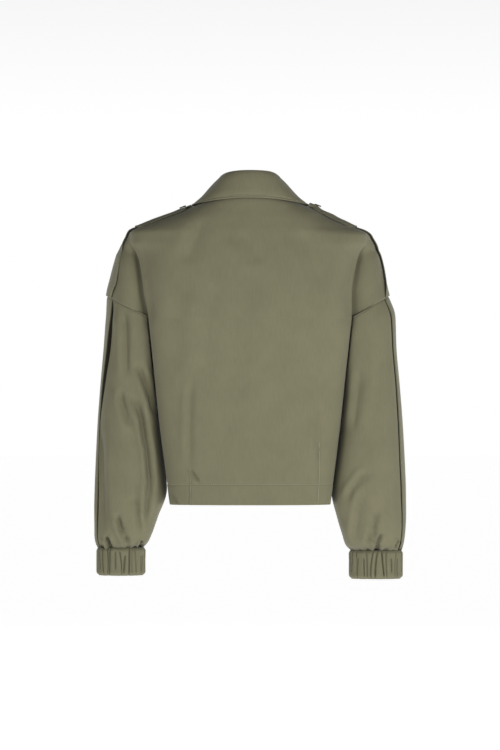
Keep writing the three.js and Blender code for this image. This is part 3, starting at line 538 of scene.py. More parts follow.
def border_distance(cloth, grid, edge):
    """For the points of a grid, how far each lies from one of its edges, measured along the cloth."""
    numbers = cloth.grids[grid]
    points = cloth.points[numbers]
    axis = 0 if edge in ("top", "bottom") else 1
    steps = np.linalg.norm(np.diff(points, axis=axis), axis=2)
    zero = np.zeros_like(steps[:1] if axis == 0 else steps[:, :1])
    away = np.concatenate([zero, np.cumsum(steps, axis=axis)], axis=axis)
    if edge == "bottom":
        away = away[-1:] - away
    if edge == "right":
        away = away[:, -1:] - away
    return numbers, away


def push_from_edge(cloth, grid, edge, profile):
    """Moves a grid's points out by a profile of how far each lies from one of its edges."""
    numbers, away = border_distance(cloth, grid, edge)
    out = np.zeros(len(cloth.points))
    out[numbers] = profile(away)
    return cloth.push(out)


def finish_edge(cloth, grid, edge, stitch=STITCH_IN, roll=0.5, valley=0.55):
    """A turned and topstitched edge: rolled over at the rim, pressed in along the stitches."""

    def profile(away):
        rim = roll * hump(away, 1.4, 1.3) - roll * hump(away, 0, 0.7)
        return rim + (0.35 * roll * hump(away, stitch - 2.2, 1.4) - valley * hump(away, stitch, 0.95))

    return push_from_edge(cloth, grid, edge, profile)


def stitch_line(cloth, grid, edge, stitch):
    """The points of the line of stitches at a distance from an edge, and their normals."""
    numbers, away = border_distance(cloth, grid, edge)
    normals = cloth.normals()[numbers]
    points = cloth.points[numbers]
    if edge in ("top", "bottom"):
        away, points, normals = away.T, points.transpose(1, 0, 2), normals.transpose(1, 0, 2)
    line, up = [], []
    for a, p, n in zip(away, points, normals):
        order = np.argsort(a)
        line.append([np.interp(stitch, a[order], p[order, k]) for k in range(3)])
        up.append([np.interp(stitch, a[order], n[order, k]) for k in range(3)])
    return np.array(line), np.array(up)


BACK_COLUMNS = even_columns(8, 0, 1, 64)
ARM_COLUMNS = even_columns(8, 1, 1.5, 34)[1:]
UNDER_COLUMNS = even_columns(11, 1, 1.5, 12, True)[1:]
SEAM_ROWS = [8.95, 8.966, 8.98, 8.99, 9]
YOKE_ROWS = np.concatenate([np.linspace(0, 5, 26), even_rows(5, 8.93, 3.2)[1:], SEAM_ROWS])
LOWER_ROWS = even_rows(9, 13, 3.6, [HEM_STITCH_Z, -545])


def both_halves(row, columns, under):
    right = body_point(row[:, None], columns[None, :], under)
    left = right[:, :0:-1] * [-1, 1, 1]
    return lean(np.concatenate([left, right], axis=1))


ARMHOLE_ROLL, ARMHOLE_STEP = 0.2, 0.9
HEM_FOLD = 0.5
HEM_DEPTH = HEM_STITCH_Z - float(BODY.side(HEM_ROW))


def press_armhole(cloth, weights):
    """The edge of the yoke at the armhole seam, rolled over a little. weights: 1 for the columns of the arm."""

    def profile(away):
        return (ARMHOLE_ROLL * hump(away, 2.8, 2.2) - ARMHOLE_STEP * hump(away, 0, 1.4)) * weights

    return push_from_edge(cloth, 0, "bottom", profile)


def finish_hem(cloth):
    """The turned-up hem: thicker below its stitches, and rolled at the lower edge."""

    def profile(away):
        fold = HEM_FOLD * smooth((HEM_DEPTH - away + 0.5) / 2.5)
        return fold + (-0.6 * hump(away, HEM_DEPTH + 0.6, 1.3) - 0.5 * hump(away, 0, 0.9))

    return push_from_edge(cloth, 1, "bottom", profile)


def make_back():
    cloth = Cloth()
    yoke_columns = np.concatenate([BACK_COLUMNS, ARM_COLUMNS])
    lower_columns = np.concatenate([BACK_COLUMNS, UNDER_COLUMNS])
    yoke = cloth.add_grid(both_halves(YOKE_ROWS, yoke_columns, False))
    lower = both_halves(LOWER_ROWS, lower_columns, True)
    shared = np.full(lower.shape[1], -1)
    middle = slice(len(UNDER_COLUMNS), len(UNDER_COLUMNS) + 2 * len(BACK_COLUMNS) - 1)
    shared[middle] = yoke[-1, len(ARM_COLUMNS) : len(ARM_COLUMNS) + 2 * len(BACK_COLUMNS) - 1]
    cloth.add_grid(lower, shared=shared)
    ripple(cloth, 0.35, 120, SEED)
    press_folds(cloth, "back")
    press_tucks(cloth)
    arm = np.concatenate([np.zeros(len(BACK_COLUMNS) - 2), [0.3, 0.7], np.ones(len(ARM_COLUMNS))])
    press_armhole(cloth, np.concatenate([arm[:0:-1], arm]))
    return finish_hem(cloth)


UNDER_TO_X, UNDER_OVER_X, UNDER_OVER_Z = 62, 34, 40


def tucked(points):
    """The lower front lies deeper near the centre, where the upper one covers it."""
    x, z = points[..., 0], points[..., 2]
    share = smooth((UNDER_TO_X - x) / UNDER_OVER_X) * smooth((LOWER_BREAK_Z - z) / UNDER_OVER_Z + 1)
    points = points.copy()
    points[..., 1] -= TUCK_UNDER * share
    return points


def make_front(side):
    cloth = Cloth()
    front_columns = even_columns(9, 2, 2.93, 42)
    front_columns = np.concatenate([front_columns, np.linspace(2.93, 3, 18)[1:]])
    arm_columns = even_columns(8, 1.5, 2, 34)[:-1]
    under_columns = even_columns(11, 1.5, 2, 26, True)[:-1]
    yoke_columns = np.concatenate([arm_columns, front_columns])
    lower_columns = np.concatenate([under_columns, front_columns])
    yoke_points = body_point(YOKE_ROWS[:, None], yoke_columns[None, :])
    lower_points = body_point(LOWER_ROWS[:, None], lower_columns[None, :], True)
    if side == "left":
        yoke_points, lower_points = tucked(yoke_points), tucked(lower_points)
    yoke = cloth.add_grid(yoke_points)
    shared = np.full(lower_points.shape[1], -1)
    shared[len(under_columns) :] = yoke[-1, len(arm_columns) :]
    cloth.add_grid(lower_points, shared=shared)
    on_side(cloth, side)
    ripple(cloth, 0.3, 110, SEED + 1 + (side == "left"))
    press_folds(cloth, f"front_{side}")
    weights = np.concatenate([np.ones(len(arm_columns)), [0.7, 0.3], np.zeros(len(front_columns) - 2)])
    press_armhole(cloth, weights)
    return finish_hem(cloth)


# Sleeves: regular rows from the armhole seam to the cuff, with the pleat's own columns.
PLAIN_STEPS = 130
LIP_STEPS = 5
WALL_STEPS = 5
FIRST_ROWS = [0, 0.02, 0.045, 0.08, 0.12, 0.17, 0.23, 0.31, 0.4]
SLEEVE_ROWS = np.concatenate([FIRST_ROWS, np.linspace(0.4, 9, 120)[1:], np.linspace(9, 10, 26)[1:]])
SLEEVE_GATHERS = 19
GATHER_DEPTH = 3.4
GATHERS_FROM_ROW, GATHERS_OVER_ROWS = 8.7, 1.2
REAR_FULLNESS = 0.56


def sleeve_ellipse(sleeve, row):
    rx = (sleeve.outer(row) - sleeve.inner(row)) / 2
    ry = (sleeve.front(row) - sleeve.back(row)) / 2
    return sleeve.inner(row) + rx, sleeve.back(row) + ry, rx, ry


def rear_power(row):
    """How full a sleeve is behind, on the side next to the body: 1 is a plain ellipse, less is fuller."""
    return mix(1, REAR_FULLNESS, smooth(row) * smooth((10 - row) / 1.6))


def sleeve_point(side, row, turn, tangent, inwards):
    sleeve = SLEEVES[side]
    x, y, rx, ry = sleeve_ellipse(sleeve, row)
    angle = np.radians(turn)
    cosine, sine = np.cos(angle), np.sin(angle)
    exponent = np.where((cosine < 0) & (sine < 0), rear_power(row), 1)
    nx, ny = np.cos(angle) * ry, np.sin(angle) * rx
    size = np.hypot(nx, ny)
    nx, ny = nx / size, ny / size
    px = x + rx * power(cosine, exponent) - nx * inwards - ny * tangent
    py = y + ry * power(sine, exponent) - ny * inwards + nx * tangent
    pz = sleeve.z(row) + sleeve.tilt(row) * (px - ARM_PIVOT)
    hem = float(BODY.side(HEM_ROW))
    clear = mix(ARC_GAP, BODY_CLEARANCE, smooth(row / SEAM_REACH))
    side_x = torso_side(py, np.maximum(pz, hem)) + clear
    px = np.where(pz > hem - BELOW_HEM, np.maximum(px, side_x), px)
    return np.stack([px, py, pz], -1)


def armhole_ring(side, at):
    """The armhole seam's points at the places of a sleeve's columns."""
    q_over = np.linspace(1, 2, 300)
    over = body_point(ARMHOLE_ROW, q_over)
    under = body_point(ARMHOLE_ROW, np.linspace(2, 1, 200), True) + [ARC_GAP, 0, 0]
    ring = np.concatenate([over, under[1:-1]])
    x, y, rx, ry = sleeve_ellipse(SLEEVES[side], 0)
    turn = np.degrees(np.arctan2((ring[:, 1] - y) / ry, (ring[:, 0] - x) / rx)) + SLEEVES[side].pleat(0)
    turn = np.degrees(np.unwrap(np.radians(turn)))
    order = np.argsort(turn % 360)
    places, ring = (turn % 360)[order], ring[order]
    places = np.concatenate([places - 360, places, places + 360])
    ring = np.concatenate([ring, ring, ring])
    return np.stack([np.interp(at, places, ring[:, k]) for k in range(3)], -1)


def make_sleeve(side):
    sleeve = SLEEVES[side]
    row = SLEEVE_ROWS[:, None]
    half, depth = sleeve.gap(row) / 2, sleeve.depth(row)
    _, _, rx, ry = sleeve_ellipse(sleeve, row)
    centre = -sleeve.pleat(row)
    reach = np.hypot(rx * np.sin(np.radians(centre)), ry * np.cos(np.radians(centre)))
    lip = np.degrees((half + PLEAT_LIP) / reach)

    wall_share = np.linspace(1, 0, WALL_STEPS + 1)[None, :]
    wall_tangent = mix(half, half * BOTTOM_SHARE, wall_share)
    wall_depth = mix(PLEAT_LIP, depth, wall_share)
    corner = np.linspace(0, math.pi / 2, LIP_STEPS + 1)[None, 1:-1]
    corner_tangent = half + PLEAT_LIP * (1 - np.cos(corner))
    corner_depth = PLEAT_LIP * (1 - np.sin(corner)) + 0 * row
    tangent = np.concatenate([wall_tangent, corner_tangent], axis=1)
    inwards = np.concatenate([wall_depth, corner_depth], axis=1)
    first = sleeve_point(side, row, centre, tangent, inwards)
    last = sleeve_point(side, row, centre, -tangent[:, ::-1], inwards[:, ::-1])
    offset = mix(lip, 360 - lip, np.linspace(0, 1, PLAIN_STEPS + 1)[None, :])
    plain = sleeve_point(side, row, centre + offset, 0 * offset, 0 * offset)
    points = np.concatenate([first, plain, last], axis=1)
    columns = points.shape[1]

    before, after = np.linspace(0.1, 1, first.shape[1]), np.linspace(359, 359.9, last.shape[1])
    seam = armhole_ring(side, np.concatenate([before, offset[0], after]))
    blend = smooth(1 - row / SEAM_REACH)[..., None]
    points = points * (1 - blend) + seam[None] * blend

    cloth = Cloth()
    cloth.add_grid(points, closed=True)
    # Painted shade inside the pleat: 1 deep inside it, 0 on the outer cloth.
    pleat_shade_share = smooth((inwards - 0.1 * PLEAT_LIP) / (0.5 * PLEAT_LIP))
    cloth.inside = np.concatenate([pleat_shade_share, 0 * offset + 0 * row, pleat_shade_share[:, ::-1]], axis=1).ravel()
    on_side(cloth, side)
    ripple(cloth, 0.35, 90, SEED + 3 + (side == "left"))
    press_folds(cloth, f"sleeve_{side}")
    push_from_edge(cloth, 0, "top", lambda away: -0.5 * hump(away, 0, 5) - 0.8 * hump(away, 0, 1.5))

    rng = np.random.default_rng(SEED + 5 + (side == "left"))
    turn = np.linspace(0, 2 * math.pi, columns, endpoint=False)[None, :]
    wobble = 0.5 * np.sin(3 * turn + rng.uniform(0, 6)) + 0.4 * np.sin(5 * turn + rng.uniform(0, 6))
    wave = np.cos(SLEEVE_GATHERS * turn + wobble * 2)
    strength = 0.65 + 0.35 * np.sin(4 * turn + rng.uniform(0, 6))
    fade = smooth((row - GATHERS_FROM_ROW) / GATHERS_OVER_ROWS)
    return cloth.push(-GATHER_DEPTH * (0.5 + 0.5 * wave) * strength * fade)


# Cuffs: uneven gathers on elastic.
CUFF_STEPS = 420
CUFF_ROWS = 34
CUFF_GATHERS = 33
CUFF_RIB = 3.4
CUFF_SWELL = 0.4
CUFF_SCALLOP = -0.9
CUFF_RIM_IN = 2.6
CUFF_TUCK_IN = 6.5
CUFF_TUCK_UP = 3


def make_cuff(side):
    cuff = CUFFS[side]
    rng = np.random.default_rng(SEED + 8 + (side == "left"))
    share = np.linspace(0, 1, CUFF_ROWS)[:, None]
    turn = np.linspace(0, 2 * math.pi, CUFF_STEPS, endpoint=False)[None, :]
    out = np.full((CUFF_ROWS, CUFF_STEPS), CUFF_RIB)
    for i in range(CUFF_GATHERS):
        centre = (i + rng.uniform(-0.32, 0.32)) * 2 * math.pi / CUFF_GATHERS
        slant, bend = rng.uniform(-0.14, 0.14), rng.uniform(-0.05, 0.05)
        width = rng.uniform(0.019, 0.036)
        begin, end = rng.choice([0, 0, 0, 0.15, 0.3]), rng.choice([1, 1, 1, 0.85, 0.7])
        depth = CUFF_RIB * rng.uniform(0.7, 1.35)
        line = centre + slant * (share - 0.5) + bend * np.sin(share * math.pi)
        away = (turn - line + math.pi) % (2 * math.pi) - math.pi
        length = smooth((share - begin + 0.1) / 0.12) * smooth((end + 0.1 - share) / 0.12)
        out -= depth * np.exp(-np.abs(away / width) ** 1.5) * length
    ends = smooth(share / 0.1) * smooth((1 - share) / 0.16)
    out = out * (0.45 + 0.55 * ends) + CUFF_SWELL * ends - CUFF_RIM_IN * (1 - smooth((1 - share) / 0.1))
    rx, x = (cuff["outer"] - cuff["inner"]) / 2, (cuff["outer"] + cuff["inner"]) / 2
    z = mix(cuff["top"], cuff["bottom"], share) + 0 * turn
    below = smooth(share / 0.25) * smooth((share - 0.5) / 0.5)
    z += CUFF_SCALLOP * (out - CUFF_RIB) / CUFF_RIB * below
    inner = np.full((1, CUFF_STEPS), -CUFF_TUCK_IN)
    out, z = np.concatenate([inner, out]), np.concatenate([z[:1] + CUFF_TUCK_UP, z])
    y = cuff["y"] + (cuff["depth"] + out) * np.sin(turn)
    points = np.stack([x + (rx + out) * np.cos(turn), y, z], -1)
    cloth = Cloth()
    cloth.add_grid(points, closed=True)
    if side == "left":
        cloth.mirror()
    return cloth


# Layers on the body


def layer_on(rows, begin, end, columns, lift, change=None, side="right"):
    begin, end = (np.array([f(row) for row in rows])[:, None] for f in (begin, end))
    q = mix(begin, end, columns[None, :])
    points = body_point(np.asarray(rows)[:, None], q)
    if change is not None:
        points = change(points)
    cloth = Cloth()
    cloth.add_grid(points)
    cloth.push(np.full(len(cloth.points), lift))
    return on_side(cloth, side)


FLAP_REAR = {
    "left": through([1.2, 1.2, 1.36, 1.4, 1.36, 1.28, 1.25, 1.262, 1.275, 1.34]),
    "right": through([1.45, 1.45, 1.45, 1.45, 1.43, 1.41, 1.43, 1.445, 1.41, 1.355]),
}
FLAP_FRONT = 2.3
FLAP_TOP = {"left": 1.27, "right": 1.62}
FLAP_WIDTH = 170
FLAP_CURL, FLAP_CURL_WIDTH = 2.2, 6


def make_flap(side):
    rows = np.concatenate([np.linspace(FLAP_TOP[side], 5, 28), even_rows(5, 8.97, 2.6)[1:]])
    columns = graded(FLAP_WIDTH, 2.6)
    cloth = layer_on(rows, FLAP_REAR[side], lambda row: FLAP_FRONT, columns, LAYER + CLOTH, side=side)
    ripple(cloth, 0.25, 70, SEED + 12)
    free = (smooth((rows - 4.2) / 0.8) * smooth((8.95 - rows) / 0.5))[:, None]
    push_from_edge(cloth, 0, "left", lambda away: FLAP_CURL * hump(away, 0, FLAP_CURL_WIDTH) * free)
    finish_edge(cloth, 0, "left")
    return finish_edge(cloth, 0, "right")


LAPEL_FROM, LAPEL_TO = 1.4, 7.4
LAPEL_START, LAPEL_NARROW, LAPEL_END = 2.44, 2.93, 2.995
LAPEL_WIDTH = 60


def make_lapel(side):
    rows = np.concatenate([np.linspace(LAPEL_FROM, 5, 28), even_rows(5, LAPEL_TO, 3)[1:]])
    length = LAPEL_TO - LAPEL_FROM
    start = lambda row: mix(LAPEL_START, LAPEL_NARROW, np.clip((row - LAPEL_FROM) / length, 0, 1) ** 1.1)
    change = tucked if side == "left" else None
    columns = graded(LAPEL_WIDTH, 2.0)
    cloth = layer_on(rows, start, lambda row: LAPEL_END, columns, LAYER + CLOTH, change, side)
    return finish_edge(cloth, 0, "left")


STRAP_FROM, STRAP_TO = 1.3, 4.45
STRAP_REAR, STRAP_FRONT = -44, 2
STRAP_LENGTH, STRAP_STEP = 92, 1.8
STRAP_POINT_FROM, STRAP_POINT_ROWS = 1.95, 0.6
STRAP_LIFT = 2 * (LAYER + CLOTH) + 0.7
STRAP_DROP = 2.9
STRAP_DROP_FROM, STRAP_DROP_TO, RIGHT_TIP_DROP_TO = -24, -40, -33
STRAP_TIPS = {"left": {"narrower": 0.82, "lift": -1.1}, "right": {"narrower": 0.45, "lift": 3.2}}
STRAP_TIP_TO, STRAP_TIP_ROWS = 2.1, 0.5


def make_strap(side):
    rows = mix(STRAP_FROM, STRAP_TO, graded(STRAP_LENGTH, STRAP_STEP))
    q = np.linspace(1, 2, 800)
    tip = STRAP_TIPS[side]
    whole = STRAP_FRONT - STRAP_REAR
    width = whole * (1 - tip["narrower"] * smooth((STRAP_POINT_FROM - rows) / STRAP_POINT_ROWS))
    middle = (STRAP_FRONT + STRAP_REAR) / 2
    y = middle + width[:, None] * (graded(whole, STRAP_STEP)[None, :] - 0.5)
    lines = []
    for row, depths in zip(rows, y):
        ring = body_point(row, q)
        lines.append(np.stack([np.interp(depths, ring[:, 1], ring[:, k]) for k in range(3)], -1))
    cloth = Cloth()
    cloth.add_grid(np.array(lines))
    near_neck = np.repeat(smooth((STRAP_TIP_TO - rows) / STRAP_TIP_ROWS), y.shape[1])
    drop_to = mix(STRAP_DROP_TO, RIGHT_TIP_DROP_TO, near_neck if side == "right" else 0)
    dropped = smooth((STRAP_DROP_FROM - cloth.points[:, 1]) / (STRAP_DROP_FROM - drop_to))
    cloth.push(STRAP_LIFT + tip["lift"] * near_neck * (1 - dropped) - STRAP_DROP * dropped)
    on_side(cloth, side)
    ripple(cloth, 0.2, 45, SEED + 16 + (side == "left"))
    for edge in ("left", "right", "bottom"):
        finish_edge(cloth, 0, edge)
    return cloth


def on_neck(row, lift, s):
    step = 0.02
    here = torso_point(row, s)
    down = torso_point(row + step, s) - here
    across = torso_point(row, s + step) - here
    normal = np.cross(down, across)
    return here + lift * normal / np.linalg.norm(normal, axis=-1, keepdims=True)


def collar_line(row, s):
    behind = s <= 1
    angle = np.where(behind, s, s - 1) * math.pi / 2
    sine, cosine = np.sin(angle), np.cos(angle)
    along = power(np.where(behind, sine, cosine), BACK_POWER)
    across = power(np.where(behind, cosine, sine), BACK_POWER)
    widest = BODY.widest(0)
    depth = np.where(behind, -(COLLAR.back(row) + widest), COLLAR.front(row) - widest)
    drop = np.where(behind, 0, COLLAR_FRONT_DROP * (s - 1))
    flatter = 2 + ROLL_FLATTER * smooth(np.asarray(row) - ROLL_FLATTER_FROM)
    z = mix(COLLAR.centre(row), COLLAR.side(row), np.where(behind, np.abs(along) ** flatter, 1)) - drop
    return np.stack([COLLAR.half(row) * along, widest + depth * across, z], -1)


def make_collar():
    limit = float(front_edge_s(0))
    quarter = np.linspace(0, 1, 800)
    lengths = even(collar_line(1, quarter * limit), 799)
    s = limit * np.interp(np.linspace(0, 1, 81), quarter, lengths)
    share = s / limit
    foot = on_neck(0, -CLOTH, s) + [0, 0, COLLAR_FOOT_RISE]
    edge_row = mix(*FALL_EDGE_ROWS, smooth(share * FALL_EDGE_PACE))
    edge = on_neck(edge_row, LAYER + CLOTH + FALL_LIFT, s)
    rings = [mix(foot, collar_line(5, s), t) for t in np.linspace(0, 1, 5)[:-1]]
    rings += [collar_line(row, s) for row in np.linspace(5, 0, 52)]
    start = collar_line(0, s)
    down = start - collar_line(0.25, s)
    down /= np.linalg.norm(down, axis=1)[:, None]
    reach = np.linalg.norm(edge - start, axis=1)[:, None]
    first, second = start + down * reach / 3, edge + (start - edge) / 3
    for t in graded(FALL_LENGTH, 2.0, 0.7, 8, (False, True))[1:]:
        bends = 3 * (1 - t) ** 2 * t * first + 3 * (1 - t) * t**2 * second
        rings.append((1 - t) ** 3 * start + bends + t**3 * edge)
    right = np.array(rings)
    points = np.concatenate([right[:, :0:-1] * [-1, 1, 1], right], axis=1)
    cloth = Cloth()
    cloth.add_grid(points)
    ripple(cloth, 0.3, 80, SEED + 14)
    return finish_edge(cloth, 0, "bottom", COLLAR_STITCH_IN, roll=0.9, valley=0.8)


# Materials


class ShaderTree:
    """Makes and joins the nodes of a material or a world."""

    def __init__(self, tree):
        self.tree = tree

    def feed(self, node, inputs):
        """Sets a node's inputs, named or numbered, to values or to the outputs of other nodes."""
        for name, value in inputs.items():
            if isinstance(value, bpy.types.NodeSocket):
                self.tree.links.new(value, node.inputs[name])
            else:
                node.inputs[name].default_value = value

    def add(self, kind, inputs, output=0, **settings):
        """Adds a node and returns one of its outputs."""
        node = self.tree.nodes.new(f"ShaderNode{kind}")
        for name, value in settings.items():
            setattr(node, name, value)
        self.feed(node, inputs)
        return node.outputs[output]

    def ramp(self, share, low, high, places=(0, 1)):
        node = self.tree.nodes.new("ShaderNodeValToRGB")
        for i, (colour, place) in enumerate(zip((low, high), places)):
            node.color_ramp.elements[i].color = colour
            node.color_ramp.elements[i].position = place
        self.feed(node, {"Fac": share})
        return node.outputs["Color"]

    def speckled(self, low, high, **noise):
        place = self.add("TexCoord", {}, "Object")
        return self.ramp(self.add("TexNoise", {"Vector": place, **noise}, "Fac"), low, high)


def node_material(name, build):
    material = bpy.data.materials.new(name)
    material.use_nodes = True
    build(ShaderTree(material.node_tree), material.node_tree.nodes["Principled BSDF"])
    return material


WHITE = (1, 1, 1, 1)
TWILL_PITCH = 0.0009
TWILL_SLANT = math.radians(58)
TWILL_DARK = (0.138, 0.134, 0.080, 1)
TWILL_LIGHT = (0.196, 0.184, 0.114, 1)
# CREVICE_SHADE and PLEAT_SHADE darken the twill's colour: painted shade in crevices and inside the sleeves'
# pleats. CREVICE is the reach of the crevice shade in metres.
CREVICE = 0.014
CREVICE_SHADE = (0.42, 0.42, 0.42, 1)
PLEAT_SHADE = 0.12


def build_twill(tree, shader):
    uv = tree.add("UVMap", {}, uv_map="cloth")
    slanted = tree.add("Mapping", {"Vector": uv, "Rotation": (0, 0, TWILL_SLANT)})
    ribs = 2 * math.pi / (20 * TWILL_PITCH)
    rib = tree.add("TexWave", {"Vector": slanted, "Scale": ribs, "Distortion": 0.6, "Detail": 1}, "Fac")
    stretched = tree.add("Mapping", {"Vector": uv, "Scale": (330, 45, 1)})
    slub = tree.add("TexNoise", {"Vector": stretched, "Scale": 1, "Detail": 2}, "Fac")
    cloud = tree.add("TexNoise", {"Vector": uv, "Scale": 22, "Detail": 3}, "Fac")
    weave = tree.add("Math", {0: rib, 1: 0.3, 2: slub}, operation="MULTIPLY_ADD")
    softer = tree.add("Math", {0: weave, 1: 0.4}, operation="MULTIPLY")
    shade = tree.add("Math", {0: cloud, 1: 0.45, 2: softer}, operation="MULTIPLY_ADD", use_clamp=True)
    colour = tree.ramp(shade, TWILL_DARK, TWILL_LIGHT, (0.1, 0.9))
    # Painted shade: ambient occlusion darkens the colour in crevices, under edges and between pieces.
    crevice_occlusion = tree.add("AmbientOcclusion", {"Distance": CREVICE}, "AO", samples=8)
    painted_crevice_shade = tree.ramp(crevice_occlusion, CREVICE_SHADE, WHITE, (0.12, 0.93))
    shaded = tree.add("Mix", {0: 1, 6: colour, 7: painted_crevice_shade}, 2, data_type="RGBA", blend_type="MULTIPLY")
    # Painted shade: the colour inside the sleeves' pleats falls to PLEAT_SHADE of itself.
    pleat_shade_share = tree.add("Attribute", {}, "Fac", attribute_name="painted_pleat_shade")
    kept = tree.add("Math", {0: pleat_shade_share, 1: PLEAT_SHADE - 1, 2: 1}, operation="MULTIPLY_ADD")
    base = tree.add("VectorMath", {0: shaded, "Scale": kept}, operation="SCALE")
    bump = tree.add("Bump", {"Strength": 0.35, "Distance": 0.00025, "Height": weave})
    tree.feed(shader, {"Base Color": base, "Normal": bump, "Roughness": 0.82, "Specular IOR Level": 0.22})
    tree.feed(shader, {"Sheen Weight": 0.12, "Sheen Roughness": 0.45})


def build_thread(tree, shader):
    colour = tree.speckled((0.32, 0.31, 0.21, 1), (0.48, 0.46, 0.34, 1), Scale=900)
    tree.feed(shader, {"Base Color": colour, "Roughness": 0.6})


def build_button(tree, shader):
    colour = tree.speckled((0.045, 0.042, 0.028, 1), (0.105, 0.098, 0.068, 1), Scale=140, Distortion=1.5)
    tree.feed(shader, {"Base Color": colour, "Roughness": 0.34})


def build_floor(tree, shader):
    tree.feed(shader, {"Base Color": (0.3, 0.3, 0.3, 1), "Roughness": 0.9})
    tree.feed(shader, {"Emission Color": WHITE, "Emission Strength": 0.93})


TWILL = node_material("olive_twill", build_twill)
THREAD = node_material("topstitch_thread", build_thread)
BUTTON = node_material("button_horn", build_button)


def add_object(name, data):
    item = bpy.data.objects.new(name, data)
    bpy.context.scene.collection.objects.link(item)
    return item


def mesh_object(name, points, faces, material, cloth_uv=None):
    mesh = bpy.data.meshes.new(name)
    mesh.from_pydata((np.asarray(points) * MM).tolist(), [], [list(map(int, f)) for f in faces])
    mesh.materials.append(material)
    mesh.shade_smooth()
    if cloth_uv is not None:
        layer = mesh.uv_layers.new(name="cloth")
        loops = np.zeros(len(mesh.loops), int)
        mesh.loops.foreach_get("vertex_index", loops)
        layer.data.foreach_set("uv", (cloth_uv[loops] * MM).ravel())
    item = add_object(name, mesh)
    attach(item, "root")
    return item


def shell(name, node, cloth, thickness=CLOTH):
    """A thin shell of cloth that stands for a node, grown inwards from its outer face."""
    used = np.unique(cloth.all_faces())
    place = np.full(len(cloth.points), -1)
    place[used] = np.arange(len(used))
    faces = place[cloth.all_faces()]
    item = mesh_object(name, cloth.points[used], faces, TWILL, cloth.cloth_uv[used])
    # The pleat's painted shade goes to the material as a point attribute.
    if cloth.inside is not None:
        shade = item.data.attributes.new("painted_pleat_shade", "FLOAT", "POINT")
        shade.data.foreach_set("value", cloth.inside[used])
    thick = item.modifiers.new("thickness", "SOLIDIFY")
    thick.thickness = thickness * MM
    thick.offset = -1
    thick.use_quality_normals = True
    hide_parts(node)
    return item


# Stitches: short threads along a line on the cloth

STITCH_PITCH, STITCH_LENGTH = 3.4, 2.5
STITCH_RADIUS, STITCH_LIFT = 0.36, 0.12
STITCH_SIDES = 6
STITCH_RINGS = ((-0.5, 0.25), (-0.36, 0.9), (0.36, 0.9), (0.5, 0.25))


def stitches(line, normals):
    """Points and faces of stitches along a line of points."""
    steps = np.linalg.norm(np.diff(line, axis=0), axis=1)
    along = np.concatenate([[0], np.cumsum(steps)])
    count = int((along[-1] - 2) / STITCH_PITCH)
    at = 1 + STITCH_PITCH * (np.arange(count) + 0.5)


    def sample(values, places):
        return np.stack([np.interp(places, along, values[:, k]) for k in range(3)], -1)

    middle = sample(line, at)
    forward = sample(line, at + 1) - sample(line, at - 1)
    forward /= np.linalg.norm(forward, axis=1)[:, None]
    up = sample(normals, at)
    up -= forward * (up * forward).sum(1)[:, None]
    up /= np.linalg.norm(up, axis=1)[:, None]
    side = np.cross(forward, up)
    angle = np.arange(STITCH_SIDES) * 2 * math.pi / STITCH_SIDES
    rings = []
    for share, size in STITCH_RINGS:
        sink = STITCH_LIFT if abs(share) < 0.45 else STITCH_LIFT - STITCH_RADIUS
        centre = middle + forward * share * STITCH_LENGTH + up * sink
        for a in angle:
            rings.append(centre + STITCH_RADIUS * size * (math.cos(a) * side + math.sin(a) * up))
    points = np.stack(rings, 1).reshape(-1, 3)
    per = STITCH_SIDES * len(STITCH_RINGS)
    one = []
    for r in range(len(STITCH_RINGS) - 1):
        for i in range(STITCH_SIDES):
            j = (i + 1) % STITCH_SIDES
            a, b = r * STITCH_SIDES, (r + 1) * STITCH_SIDES
            one.append([a + i, b + i, b + j, a + j])
    one.append(list(range(STITCH_SIDES - 1, -1, -1)))
    one.append([per - STITCH_SIDES + i for i in range(STITCH_SIDES)])
    faces = [[k * per + i for i in face] for k in range(count) for face in one]
    return points, faces


class Thread:
    """Gathers the stitches of several lines into one object."""

    def __init__(self):
        self.points, self.faces, self.count = [], [], 0

    def sew(self, line, normals):
        points, faces = stitches(line, normals)
        self.points.append(points)
        self.faces += [[i + self.count for i in face] for face in faces]
        self.count += len(points)

    def item(self, name):
        return mesh_object(name, np.concatenate(self.points), self.faces, THREAD)


# Buttons


# The outline from the middle of the face to the rim and below it, as shares of the radius and the height.
BUTTON_PROFILE = [
    *[(0, 0.1), (0.5, 0.1), (0.62, 0.2), (0.74, 0.46), (0.86, 0.5)],
    *[(0.96, 0.36), (1, 0.1), (0.97, -0.3), (0.85, -0.5), (0, -0.5)],
]
BUTTON_STEPS = 40
STRAPS_ABOVE = -100
UP = np.array([0, 0, 1.0])


def button_item(name, node, radius, height, lift=0):
    """A button with a raised rim in place of a plain disc, turned to face as the disc does."""
    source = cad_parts[node].data
    corners = np.array([v.co for v in source.vertices]) / MM
    centre = corners.mean(0)
    axis = np.linalg.svd(corners - centre)[2][2]
    outward = UP if centre[2] > STRAPS_ABOVE else centre - centre[2] * UP
    axis = axis if axis @ outward > 0 else -axis
    helper = UP if abs(axis[2]) < 0.9 else np.array([1.0, 0, 0])
    centre = centre + lift * axis
    side = np.cross(helper, axis)
    side /= np.linalg.norm(side)
    other = np.cross(axis, side)
    points, faces = [], []
    for share, level in BUTTON_PROFILE:
        out = max(share, 0.001) * radius
        for k in range(BUTTON_STEPS):
            a = 2 * math.pi * k / BUTTON_STEPS
            points.append(centre + out * (math.cos(a) * side + math.sin(a) * other) + level * height * axis)
    for r in range(len(BUTTON_PROFILE) - 1):
        above, below = r * BUTTON_STEPS, (r + 1) * BUTTON_STEPS
        for k in range(BUTTON_STEPS):
            j = (k + 1) % BUTTON_STEPS
            faces.append([above + k, below + k, below + j, above + j])
    item = mesh_object(name, points, faces, BUTTON)
    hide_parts(node)


# Making the pieces

